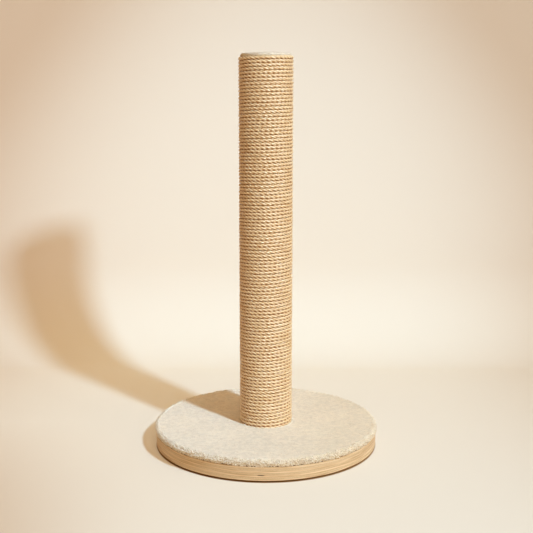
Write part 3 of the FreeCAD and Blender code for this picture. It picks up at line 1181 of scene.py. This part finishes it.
# ================================================================ plush
@dataclass
class PlushCarpet:
    """The plush ring on the board: a tufted face with its pile rolled over at the rim and at the post."""

    hole_radius: float = 48.2 * MM
    top_round: float = 6.5 * MM
    hole_round: float = 1.4 * MM
    seam_round: float = 1.3 * MM
    seam_lift: float = 1.5 * MM
    backing_inset: float = 1.6 * MM
    backing_height: float = 2.4 * MM
    backing_lift: float = 0.05 * MM
    backing_reach: float = 12 * MM
    spacing: float = 1.28 * MM
    bottom_spacing: float = 6.0 * MM
    edge_zone: float = 6 * MM
    hem_width: float = 5 * MM
    hem_height: float = 2.2 * MM
    glued_height: float = 1.2 * MM
    tuft_pitch: float = 2.9 * MM
    tuft_height: float = 0.95 * MM
    band_pitch: float = 1.9 * MM
    band_sink: float = 1.3 * MM
    band_lengths: tuple[float, float] = (1.9 * MM, 3.9 * MM)
    band_widths: tuple[float, float] = (1.2 * MM, 2.2 * MM)
    rim_tilts: tuple[float, float, int] = (16, 92, 6)
    foot_tilts: tuple[float, ...] = (20, 50, 75)
    seed: int = 31

    def __post_init__(self) -> None:
        """Takes the carpet's rim and levels from the frame."""
        low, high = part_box("base_carpet")
        self.bottom = low.z
        self.top = high.z
        self.rim_radius = (high.x - low.x) / 2
        self.finish = PlushFinish("carpet_plush").material()
        # Painted light: the tufts at the rim and round the post take a paler copy of the plush.
        self.painted_light_tuft_finish = PlushFinish("carpet_tufts_painted_light", Tone(251, 241, 222), Tone(249, 234, 208)).material()

    def rings(self) -> list[Ring]:
        """Finds the circles of the carpet's outline, from its seam round the rim and back underneath.

        Returns:
            The circles in order.
        """
        corners = [
            (self.rim_radius - self.seam_round, self.bottom, 0.0),
            (self.rim_radius, self.bottom, self.seam_round),
            (self.rim_radius, self.top, self.top_round),
            (self.hole_radius, self.top, self.hole_round),
            (self.hole_radius, self.bottom, 0.0),
        ]
        rings = []
        for radius, level in outline_points(corners, self.spacing * ROW_SHARE):
            rings.append(Ring(radius, level, round(TURN * radius / self.spacing)))
        under = outline_points([corners[-1], corners[0]], self.bottom_spacing)
        for radius, level in under[1:-1]:
            rings.append(Ring(radius, level, round(TURN * radius / self.bottom_spacing)))
        return rings

    def pile(self) -> bpy.types.Object:
        """Builds the tufted carpet itself.

        Returns:
            The piece.
        """
        rings = self.rings()
        points, faces = turned_form(rings, True)
        draw = np.random.default_rng(self.seed)
        radius = np.hypot(points[:, 0], points[:, 1])
        away = points[:, :2] / radius[:, None]
        tilt = np.clip((radius - self.rim_radius + self.top_round) / self.top_round, 0, 1)
        inward = np.clip((self.hole_radius + self.hole_round - radius) / self.hole_round, 0, 1)
        sideways = np.sin(tilt * math.pi / 2) - np.sin(inward * math.pi / 2)
        upright = np.cos(sideways * math.pi / 2)
        normal = unit(np.stack([away[:, 0] * sideways, away[:, 1] * sideways, upright], axis=1))
        upper = np.clip((points[:, 2] - self.bottom) / self.glued_height, 0, 1)
        rise, own = Tufts(self.seed, self.tuft_pitch).at(points)
        gentle = Waves(self.seed + 1, (0.016, 0.023, 0.037, 0.06), 2).at(points[:, :2])
        edge = np.clip((radius - self.rim_radius + self.edge_zone) / self.edge_zone, 0, 1)
        height = self.tuft_height * (rise * (0.62 + 0.38 * own) - 0.75) * (0.6 + 0.5 * edge)
        height += 0.2 * MM * gentle + draw.normal(scale=0.05 * MM, size=len(points))
        brush = draw.normal(scale=0.08 * MM, size=points.shape)
        outer = (radius > self.rim_radius - self.hem_width) & (points[:, 2] < self.bottom + self.hem_height)
        points = points + (normal * height[:, None] + brush) * upper[:, None]
        points[:, 2] += self.hem(points) * outer
        piece = make_piece("plush_carpet", points, [faces], self.finish)
        # Painted shade: the pile value is lower between tufts, in gaps at the rim and near the board.
        painted_gap_shade = 0.35 * (1 - rise) * edge * np.clip(own * 1.6 - 0.3, 0, 1)
        openness = np.clip(rise * (0.55 + 0.45 * own) + 0.25 * (1 - edge) - painted_gap_shade, 0, 1)
        add_value(piece, "pile", openness * (0.4 + 0.6 * upper))
        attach(piece, BODY)
        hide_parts("base_carpet")
        return piece

    def hem(self, points: np.ndarray) -> np.ndarray:
        """How far the pile's ragged lower edge stands off the board.

        Args:
            points: Places on the carpet.

        Returns:
            A height for each of them.
        """
        angle = np.arctan2(points[:, 1], points[:, 0])
        ragged = Waves(self.seed + 5, (0.0043, 0.0071, 0.013, 0.041)).at(angle * self.rim_radius)
        return self.seam_lift * np.clip(0.15 + 0.9 * ragged, 0, 1.7)

    def backing(self) -> bpy.types.Object:
        """Builds the woven jute backing, toned dark as painted shade, which shows as a dark broken line along
        the seam.

        Returns:
            The piece.
        """
        outer = self.rim_radius - self.backing_inset
        inner = self.rim_radius - self.backing_reach
        floor = self.bottom + self.backing_lift
        top = self.bottom + self.backing_height
        corners = [(inner, floor), (outer, floor), (outer, top), (inner, top)]
        points, faces = turned_form([Ring(r, z, 720) for r, z in corners], True)
        # Painted shade: dark brown tones that stand for the shade under the pile's lower edge.
        jute = BoardFinish("jute_backing_painted_shade", Tone(128, 92, 56), Tone(78, 50, 26)).material()
        piece = make_piece("carpet_backing", points, [faces], jute)
        piece.data.set_sharp_from_angle(angle=math.radians(40))
        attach(piece, BODY)
        return piece

    def tufted_band(
        self, name: str, radius: float, level: float, curve: float, tilts: Sequence[float], outward: float
    ) -> bpy.types.Object:
        """Builds rows of separate tufts on a round edge of the carpet.

        Args:
            name: The piece's name.
            radius: The radius of the circle through the edge's middle.
            level: That circle's height.
            curve: The edge's own rounding.
            tilts: The way that each row's tufts lean, in degrees down from upright.
            outward: 1 where the tufts lean away from the post, and -1 where they lean to it.

        Returns:
            The piece.
        """
        draw = np.random.default_rng(self.seed + len(name))
        roots, ways = [], []
        for tilt in np.radians(tilts):
            row_radius = radius + outward * curve * math.sin(tilt)
            count = round(TURN * row_radius / self.band_pitch)
            start = draw.uniform(0, 1)
            angles = TURN * (np.arange(count) + start + draw.normal(scale=0.28, size=count)) / count
            leans = tilt + draw.normal(scale=0.22, size=count)
            turned = angles + draw.normal(scale=0.006, size=count)
            reach = radius + outward * (curve - self.band_sink) * np.sin(leans)
            roots.append(around(reach, angles, level + (curve - self.band_sink) * np.cos(leans)))
            ways.append(around(outward * np.sin(leans), turned, np.cos(leans)))
        root = np.concatenate(roots)
        way = np.concatenate(ways)
        bends = draw.normal(scale=0.22, size=root.shape)
        lengths = draw.uniform(*self.band_lengths, len(root))
        widths = draw.uniform(*self.band_widths, len(root))
        points, faces, shares = Spikes(root, way, bends, lengths, widths, 5, 1.15).build(3)
        piece = make_piece(name, points, [faces], self.painted_light_tuft_finish)
        # Painted shade: each tuft darker towards its root.
        add_value(piece, "pile", 0.45 + 0.55 * shares)
        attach(piece, BODY)
        return piece

    def build(self) -> list[bpy.types.Object]:
        """Builds the carpet, its rim's tufts and those round the post.

        Returns:
            The pieces.
        """
        carpet = self.pile()
        curve = self.top_round
        radius = self.rim_radius - curve
        tilts = np.linspace(*self.rim_tilts)
        rim = self.tufted_band("carpet_rim_tufts", radius, self.top - curve, curve, tilts, 1.0)
        lip = self.hole_round
        radius = self.hole_radius + lip
        foot = self.tufted_band("carpet_foot_tufts", radius, self.top - lip, lip, self.foot_tilts, -1.0)
        trim = [rim, foot, self.backing()]
        return [carpet, *trim]


@dataclass
class PlushCap:
    """The domed plush cap, whose skirt comes down to the rope's topmost turn all round."""

    board_radius: float = 40.4 * MM
    skirt_radius: float = 41.3 * MM
    cavity_level: float = 2.0 * MM
    edge_clearance: float = 0.4 * MM
    crown_sink: float = 0.8 * MM
    crown_drop: float = 0.4 * MM
    shoulder_round: float = 3.6 * MM
    skirt_length: float = 6.5 * MM
    fixed_above: float = 2.5 * MM
    inner_step: float = 2.0 * MM
    rope_radius: float = 3.04 * MM
    cad_rope_radius: float = 2.75 * MM
    rope_pitch: float = 6.0 * MM
    spacing: float = 1.05 * MM
    tuft_pitch: float = 2.4 * MM
    tuft_height: float = 0.4 * MM
    fuzz_count: int = 3200
    fuzz_lengths: tuple[float, float] = (0.5 * MM, 0.9 * MM)
    fuzz_widths: tuple[float, float] = (0.35 * MM, 0.6 * MM)
    fuzz_sink: float = 0.3 * MM
    seed: int = 51

    def __post_init__(self) -> None:
        """Takes the cap's size from the frame."""
        low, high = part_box("cap_plush")
        self.ceiling = low.z - self.edge_clearance + self.cavity_level
        self.top = high.z - self.crown_sink
        self.side_radius = (high.x - low.x) / 2
        self.rope_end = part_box("rope_turns_5")[1].z - self.cad_rope_radius
        self.bend = self.side_radius - self.shoulder_round
        self.foot_round = 0.5 * (self.side_radius - self.skirt_radius)
        self.foot = self.top - self.skirt_length
        self.finish = PlushFinish("cap_plush").material()

    def outline(self) -> list[tuple[float, float]]:
        """Draws the cap's outer outline, from the foot of its skirt over the shoulder to the crown.

        Returns:
            The outline's points as radius and level.
        """
        shoulder = self.top - self.crown_drop - self.shoulder_round
        path = [(self.skirt_radius, self.foot)]
        for angle in np.linspace(-math.pi / 2, math.pi / 2, 7):
            out = self.foot_round * (1 + math.sin(angle))
            path.append((self.skirt_radius + out, self.foot - self.foot_round * math.cos(angle)))
        for angle in np.linspace(0, math.pi / 2, 9):
            rise = self.shoulder_round * math.sin(angle)
            path.append((self.bend + self.shoulder_round * math.cos(angle), shoulder + rise))
        for share in np.linspace(1, 0, 40)[1:]:
            path.append((self.bend * share, self.top - self.crown_drop * share**2))
        return path

    def rope_top(self, points: np.ndarray) -> np.ndarray:
        """How high the rope's topmost turn stands below the skirt.

        Args:
            points: Places on the cap.

        Returns:
            The height of the turn's upper side below each of them.
        """
        back = (math.pi / 2 - np.arctan2(points[:, 1], points[:, 0])) / TURN % 1
        step = np.clip((back - 0.97) / 0.03, 0, 1)
        return self.rope_end + self.rope_radius - self.rope_pitch * (back - step)

    def seated(self, points: np.ndarray) -> np.ndarray:
        """Stretches or shortens the skirt, so that its lower edge lies on the rope.

        Args:
            points: The cap's points.

        Returns:
            The points with new heights below the shoulder.
        """
        fixed = self.top - self.fixed_above
        share = np.clip((fixed - points[:, 2]) / (fixed - self.foot + self.foot_round), 0, None)
        outer = np.hypot(points[:, 0], points[:, 1]) > self.board_radius + 0.1 * MM
        level = fixed - share * (fixed - self.rope_top(points))
        moved = points.copy()
        moved[:, 2] = np.where(outer & (share > 0), level, points[:, 2])
        return moved

    def build(self) -> list[bpy.types.Object]:
        """Builds the cap and the fuzz that stands off it.

        Returns:
            The pieces.
        """
        outer = resampled(self.outline(), self.spacing * ROW_SHARE)
        rings = [Ring(r, z, max(5, round(TURN * r / self.spacing))) for r, z in outer]
        outer_count = sum(ring.count for ring in rings)
        lip = self.ceiling - self.cavity_level + self.edge_clearance
        inner = [
            (0.5 * MM, self.ceiling),
            (self.board_radius / 2, self.ceiling),
            (self.board_radius, self.ceiling),
            (self.board_radius, lip),
            (self.skirt_radius, lip),
        ]
        rings += [Ring(r, z, max(5, round(TURN * r / self.inner_step))) for r, z in inner]
        points, faces = turned_form(rings, True)
        outside = np.arange(len(points)) < outer_count
        points = self.seated(points)
        radius = np.hypot(points[:, 0], points[:, 1])
        lean = np.clip((radius - self.bend) / self.shoulder_round, 0, 1)
        away = points[:, :2] * (lean / np.maximum(radius, TINY))[:, None]
        normal = np.concatenate([away, np.sqrt(1 - lean**2)[:, None]], axis=1)
        rise, own = Tufts(self.seed, self.tuft_pitch).at(points)
        draw = np.random.default_rng(self.seed)
        height = self.tuft_height * (rise * (0.6 + 0.4 * own) - 0.6)
        height += draw.normal(scale=0.05 * MM, size=len(points))
        upper = np.clip((points[:, 2] - self.ceiling + self.cavity_level) / (2 * MM) + 1, 0, 1)
        points = points + normal * (height * outside * upper)[:, None]
        cap = make_piece("plush_cap", points, [faces], self.finish)
        # Painted shade: the cap's plush darker between its tufts.
        add_value(cap, "pile", np.clip(0.25 + rise * (0.5 + 0.4 * own), 0, 1))
        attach(cap, BODY)
        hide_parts("cap_plush")
        return [cap, self.fuzz(points, normal, outside)]

    def fuzz(self, points: np.ndarray, normal: np.ndarray, outside: np.ndarray) -> bpy.types.Object:
        """Builds short fibres on the cap.

        Args:
            points: The cap's points.
            normal: The way out at each point.
            outside: Whether each point lies on the cap's outer face.

        Returns:
            The piece.
        """
        draw = np.random.default_rng(self.seed + 1)
        chosen = draw.choice(np.flatnonzero(outside), self.fuzz_count, replace=False)
        ways = unit(normal[chosen] + draw.normal(scale=0.45, size=(self.fuzz_count, 3)))
        bends = draw.normal(scale=0.25, size=ways.shape)
        lengths = draw.uniform(*self.fuzz_lengths, self.fuzz_count)
        widths = draw.uniform(*self.fuzz_widths, self.fuzz_count)
        roots = points[chosen] - normal[chosen] * self.fuzz_sink
        spots, faces, shares = Spikes(roots, ways, bends, lengths, widths).build()
        piece = make_piece("cap_fuzz", spots, [faces], self.finish)
        # Painted shade: each fibre darker towards its root.
        add_value(piece, "pile", 0.4 + 0.6 * shares)
        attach(piece, BODY)
        return piece


# ================================================================ the board
@dataclass
class PlywoodDisc:
    """The round plywood board, with ply lines on its rim, a small core gap and a recess below."""

    ply_count: int = 7
    edge_round: float = 1.5 * MM
    face_inset: float = 6 * MM
    face_rings: tuple[tuple[float, int], ...] = ((0.17, 360), (0.12, 240), (0.06, 120))
    inner_ring: tuple[float, int] = (0.02, 60)
    lower_inner_ring: tuple[float, int] = (0.03, 96)
    hole_radius: float = 4.5 * MM
    hole_step: float = 6 * MM
    recess_radius: float = 17.0 * MM
    recess_depth: float = 10.0 * MM
    segments: int = 900
    level_step: float = 0.55 * MM
    glue_depth: float = 0.1 * MM
    glue_width: float = 0.35 * MM
    ripple_depth: float = 0.04 * MM
    gap_angle: float = math.radians(-92.5)
    gap_length: float = 12.0 * MM
    gap_height: float = 1.6 * MM
    gap_depth: float = 3.0 * MM
    gap_ply: float = 2.8
    seed: int = 71

    def __post_init__(self) -> None:
        """Takes the board's size from the frame."""
        low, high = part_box("base_board")
        self.bottom = low.z
        self.top = high.z
        self.radius = (high.x - low.x) / 2
        self.ply = (self.top - self.bottom) / self.ply_count

    def rings(self) -> list[Ring]:
        """Draws the board's outline, from its underside round the rim, the top, the hole and the recess.

        Returns:
            The circles of the outline.
        """
        corners = [
            (self.radius - self.face_inset, self.bottom, 0.0),
            (self.radius, self.bottom, self.edge_round),
            (self.radius, self.top, self.edge_round),
            (self.radius - self.face_inset, self.top, 0.0),
        ]
        rings = [Ring(r, z, self.segments) for r, z in outline_points(corners, self.level_step)]
        rings += [Ring(r, self.top, count) for r, count in (*self.face_rings, self.inner_ring)]
        floor = self.bottom + self.recess_depth
        rings += [Ring(self.hole_radius, z, 48) for z in (self.top, floor + self.hole_step, floor)]
        rings += [Ring(self.recess_radius, z, 96) for z in (floor, self.bottom)]
        lower = (self.lower_inner_ring, *reversed(self.face_rings))
        return rings + [Ring(r, self.bottom, count) for r, count in lower]

    def core_gap(self, points: np.ndarray) -> np.ndarray:
        """Places a small gap in the board's core, open at the rim's front.

        Args:
            points: Places on the board's rim.

        Returns:
            How deep in the gap each of them lies, from 0 to 1.
        """
        along = np.arctan2(points[:, 1], points[:, 0]) * self.radius
        over = (along - self.gap_angle * self.radius) / (self.gap_length / 2)
        up = (points[:, 2] - self.bottom - self.gap_ply * self.ply) / (self.gap_height / 2)
        return np.clip(1.3 - over**2 - up**2, 0, 1)

    def build(self) -> list[bpy.types.Object]:
        """Builds the board.

        Returns:
            The pieces.
        """
        points, faces = turned_form(self.rings(), True)
        radius = np.hypot(points[:, 0], points[:, 1])
        on_rim = radius > self.radius - 0.05 * MM
        phase = ((points[:, 2] - self.bottom) / self.ply) % 1
        line = np.exp(-((np.minimum(phase, 1 - phase) * self.ply / self.glue_width) ** 2))
        hollow = self.core_gap(points) * on_rim
        ripple = Waves(self.seed, (0.009, 0.017, 0.031), 3).at(points * np.array([1.0, 1.0, 5.0]))
        sink = (self.glue_depth * line + self.ripple_depth * ripple) * on_rim + self.gap_depth * hollow
        points[:, :2] *= (1 - sink / np.maximum(radius, TINY))[:, None]
        finish = PlywoodFinish("birch_plywood", self.bottom, self.ply).material()
        board = make_piece("plywood_disc", points, [faces], finish)
        board.data.set_sharp_from_angle(angle=math.radians(50))
        # The hollow value makes the finish paint shade in the core gap.
        add_value(board, "hollow", hollow)
        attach(board, BODY)
        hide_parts("base_board")
        return [board]


# ================================================================ pieces carried over from the frame
@dataclass
class Fastenings:
    """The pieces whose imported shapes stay: tube, plugs, cap board, steel parts and pads."""

    spiral_pitch: float = 110 * MM
    pad_count: int = 6

    def build(self) -> list[bpy.types.Object]:
        """Gives each carried-over piece its finish.

        Returns:
            The pieces.
        """
        pale, dark = Tone(190, 157, 116), Tone(158, 124, 84)
        cardboard = BoardFinish("spiral_cardboard", pale, dark, self.spiral_pitch)
        kept = {
            SteelFinish(): (
                "post_bolt",
                "penny_washer",
                "spring_washer",
                "tee_nut",
                "cap_screws",
                "lower_plug_nails",
                "upper_plug_nails",
                "rope_tack_lower",
                "rope_tack_upper",
            ),
            GrainFinish("turned_pine"): ("lower_plug", "upper_plug"),
            RubberFinish(): tuple(f"grip_pad_{number}" for number in range(1, self.pad_count + 1)),
            cardboard: ("post_tube",),
            BoardFinish("hardboard", Tone(146, 112, 78), Tone(108, 78, 50)): ("cap_board",),
        }
        pieces = []
        for finish, names in kept.items():
            material = finish.material()
            for name in names:
                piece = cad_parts[name]
                piece.data.materials.clear()
                piece.data.materials.append(material)
                pieces.append(piece)
        return pieces


# ================================================================ the studio
@dataclass
class Studio:
    """A pale paper sweep, a near key lamp at the front right, a wide warm light, a fill and the camera.

    The key's light is cool and the other two are warm, so that shadows are warm and what all three
    reach has about its own colour.
    """

    floor_tone: Tone = Tone(239, 231, 214)
    corner_painted_shade: Tone = Tone(222, 204, 188)
    wall_painted_shade: Tone = Tone(247, 243, 240)
    wall_starts: float = 0.25
    left_painted_light: float = 1.08
    right_painted_shade: float = 0.95
    level_reach: float = 0.7
    top_starts: float = 0.22
    near_left: tuple[float, float] = (-0.1, 0.1)
    seen_share: Colour = (0.75, 0.77, 0.8, 1.0)
    under_board_painted_shade: Colour = (0.42, 0.25, 0.12, 1.0)
    bounce_share: Colour = (0.96, 0.86, 0.74, 1.0)
    floor_glow: Colour = (0.235, 0.175, 0.11, 1.0)
    wall_glow: Colour = (0.27, 0.215, 0.16, 1.0)
    glow_starts: float = 0.1985
    glow_full: float = 0.2015
    sky_colour: Colour = (0.87, 0.79, 0.66, 1.0)
    sweep_start: float = 0.466
    sweep_radius: float = 0.213
    sweep_height: float = 3.2
    half_width: float = 4.0
    key_azimuth: float = math.radians(39.0)
    key_distance: float = 1.27
    key_height: float = 1.31
    key_radius: float = 0.062
    key_power: float = 30.5
    key_colour: tuple[float, float, float] = (0.65, 0.98, 1.3)
    wrap_elevation: float = math.radians(38.0)
    wrap_spread: float = math.radians(70.0)
    wrap_strength: float = 0.72
    wrap_colour: tuple[float, float, float] = (1.24, 0.9, 0.55)
    fill_colour: Colour = (1.0, 0.65, 0.32, 1.0)
    fill_strength: float = 0.31
    camera_place: tuple[float, float, float] = (0.00102, -1.6485, 0.6082)
    camera_pitch: float = math.radians(80.23)
    camera_lens: float = 63.32
    camera_sensor: float = 36.0

    def paper_tone(self, graph: Graph, places: Socket) -> tuple[Socket, Socket, Socket]:
        """Paints shade on the paper softly towards its sides, its top and the near left, and paints it
        lighter on the left, darker on the right and on the wall.

        Args:
            graph: The paper's node tree.
            places: Places on the paper.

        Returns:
            The colour, the painted corner shade in it, and how far up the sweep each place lies.
        """
        x, y, z = graph.split(places)
        aside = graph.maths("MULTIPLY", graph.maths("POWER", graph.maths("ABSOLUTE", x), 2.0), 1.25)
        risen = graph.maths("MAXIMUM", graph.maths("SUBTRACT", z, self.top_starts), 0.0)
        above = graph.maths("POWER", risen, 2.0)
        corner = graph.maths("MULTIPLY", aside, above)
        left = graph.maths("MAXIMUM", graph.maths("SUBTRACT", self.near_left[0], x), 0.0)
        near = graph.maths("MAXIMUM", graph.maths("SUBTRACT", self.near_left[1], y), 0.0)
        near_corner = graph.maths("MULTIPLY", left, near)
        away = graph.weighted((aside, 1.0), (above, 0.9), (corner, 2.2), (near_corner, 3.5))
        # Painted shade: darker towards the sides, the top and the near left.
        edge = graph.mix(graph.span(away, 0.0, 1.0), WHITE, self.corner_painted_shade.linear())
        height = graph.span(z, 0.0, self.wall_starts)
        colour = graph.tint(self.floor_tone.linear(), edge)
        # Painted shade: the wall a little darker and warmer than the floor.
        colour = graph.tint(colour, graph.mix(height, WHITE, self.wall_painted_shade.linear()))
        # Painted light and shade: the paper lighter on the left, darker on the right.
        lean = graph.span(x, -self.level_reach, self.level_reach, self.left_painted_light, self.right_painted_shade)
        fleck = graph.span(graph.noise(places, 700.0, 2.0), 0.2, 0.8, 0.995, 1.005)
        return graph.shade(colour, graph.maths("MULTIPLY", fleck, lean)), edge, height

    def backdrop_finish(self) -> bpy.types.Material:
        """Builds the paper of the floor and the sweep.

        Seen by the camera or in a reflection, the paper is darker and glows a little, painted light
        that makes shadows on it light. Under the board it doesn't glow and has painted shade. What it
        throws back on the object is plain paper's light. A camera behind or below the paper sees
        through it.

        Returns:
            The material.
        """
        graph = FinishGraph("sweep_paper", {"Roughness": 0.95, "Specular IOR Level": 0.1})
        places = graph.places()
        colour, edge, height = self.paper_tone(graph, places)
        x, y, _z = graph.split(places)
        seen = graph.seen()
        # Under the board the paper doesn't glow, part of its painted shade.
        clear_of_board = graph.span(graph.reach(x, y), self.glow_starts, self.glow_full)
        glow = graph.tint(graph.mix(height, self.floor_glow, self.wall_glow), edge)
        # Painted light: the paper glows to the camera and in reflections, lightening its shadows.
        graph.feed(graph.shader.inputs["Emission Color"], glow)
        graph.feed(graph.shader.inputs["Emission Strength"], graph.maths("MULTIPLY", seen, clear_of_board))
        # Painted shade: under the board the paper is much darker and warmer.
        share = graph.mix(clear_of_board, self.under_board_painted_shade, self.seen_share)
        # Seen by the camera, the paper is darker outside the board, balancing the painted glow.
        share = graph.mix(seen, self.bounce_share, share)
        material = graph.finish(graph.tint(colour, share))
        behind = graph.add("NewGeometry").outputs["Backfacing"]
        from_camera = graph.add("LightPath").outputs["Is Camera Ray"]
        see_through = graph.maths("MULTIPLY", behind, from_camera)
        clear = graph.add("BsdfTransparent").outputs[0]
        graph.choose(see_through, graph.shader.outputs[0], clear, "Material Output")
        return material

    def build_stage(self) -> None:
        """Builds the floor and the sweep behind the post."""
        reach = self.half_width
        corners = reach * np.array([(-1, -1, 0), (1, -1, 0), (1, 1, 0), (-1, 1, 0)])
        paper = self.backdrop_finish()
        floor = make_piece("studio_floor", corners, [np.array([[0, 1, 2, 3]])], paper)
        profile = []
        for angle in np.linspace(0, math.pi / 2, 33):
            across = self.sweep_start + self.sweep_radius * math.sin(angle)
            profile.append((across, self.sweep_radius * (1 - math.cos(angle))))
        profile.append((self.sweep_start + self.sweep_radius, self.sweep_height))
        points = []
        for across, level in profile:
            points += [(-reach, across, level), (reach, across, level)]
        steps = np.arange(len(profile) - 1)[:, None] * 2
        faces = steps + np.array([[0, 1, 3, 2]])
        sweep = make_piece("studio_sweep", np.array(points), [faces], paper)

    def build_key(self) -> None:
        """Adds the key lamp, whose light doesn't weaken with distance."""
        lamp = bpy.data.lights.new("key", "POINT")
        lamp.energy = self.key_power
        lamp.shadow_soft_size = self.key_radius
        lamp.color = self.key_colour
        lamp.use_nodes = True
        graph = Graph(lamp.node_tree)
        falloff = graph.add("LightFalloff")
        graph.feed(falloff.inputs["Strength"], 1.0)
        graph.feed(lamp.node_tree.nodes["Emission"].inputs["Strength"], falloff.outputs["Constant"])
        key = bpy.data.objects.new("key", lamp)
        across = self.key_distance * math.sin(self.key_azimuth)
        ahead = -self.key_distance * math.cos(self.key_azimuth)
        key.location = (across, ahead, self.key_height)
        key.visible_camera = False
        bpy.context.scene.collection.objects.link(key)

    def build_wrap(self) -> None:
        """Adds the wide warm light, which comes from the key's side."""
        lamp = bpy.data.lights.new("wrap", "SUN")
        lamp.energy = self.wrap_strength
        lamp.angle = self.wrap_spread
        lamp.color = self.wrap_colour
        wrap = bpy.data.objects.new("wrap", lamp)
        flat = math.cos(self.wrap_elevation)
        right = flat * math.sin(self.key_azimuth)
        front = -flat * math.cos(self.key_azimuth)
        away = Vector((right, front, math.sin(self.wrap_elevation)))
        wrap.rotation_euler = (-away).to_track_quat("-Z", "Y").to_euler()
        bpy.context.scene.collection.objects.link(wrap)

    def build_world(self) -> None:
        """Adds the fill, and the sky that the camera and reflections see in its place."""
        world = bpy.data.worlds.new("studio")
        world.use_nodes = True
        graph = Graph(world.node_tree)
        fill = world.node_tree.nodes["Background"]
        graph.feed(fill.inputs["Color"], self.fill_colour)
        graph.feed(fill.inputs["Strength"], self.fill_strength)
        sky = graph.add("Background")
        graph.feed(sky.inputs["Color"], self.sky_colour)
        graph.choose(graph.seen(), fill.outputs[0], sky.outputs[0], "World Output")
        bpy.context.scene.world = world

    def build_camera(self) -> None:
        """Stands the camera where the photograph was taken from."""
        data = bpy.data.cameras.new("camera")
        data.sensor_width = self.camera_sensor
        data.lens = self.camera_lens
        camera = bpy.data.objects.new("camera", data)
        camera.location = self.camera_place
        camera.rotation_euler = (self.camera_pitch, 0, 0)
        bpy.context.scene.collection.objects.link(camera)
        bpy.context.scene.camera = camera

    def build(self) -> None:
        """Builds the camera, the stage and the lights."""
        self.build_camera()
        self.build_stage()
        self.build_key()
        self.build_wrap()
        self.build_world()
        bpy.context.scene.view_settings.view_transform = "Standard"


def main() -> None:
    """Builds the studio and each sub-assembly in order, and reports the pieces."""
    logging.basicConfig(level=logging.INFO, format="%(message)s")
    Studio().build()
    builders: list[Callable[[], list[bpy.types.Object]]] = [
        PlywoodDisc().build,
        PlushCarpet().build,
        SisalWinding().build,
        PlushCap().build,
        Fastenings().build,
    ]
    for build in builders:
        for piece in build():
            LOG.info("%s: %d faces", piece.name, len(piece.data.polygons))


if __name__ == "__main__":
    main()
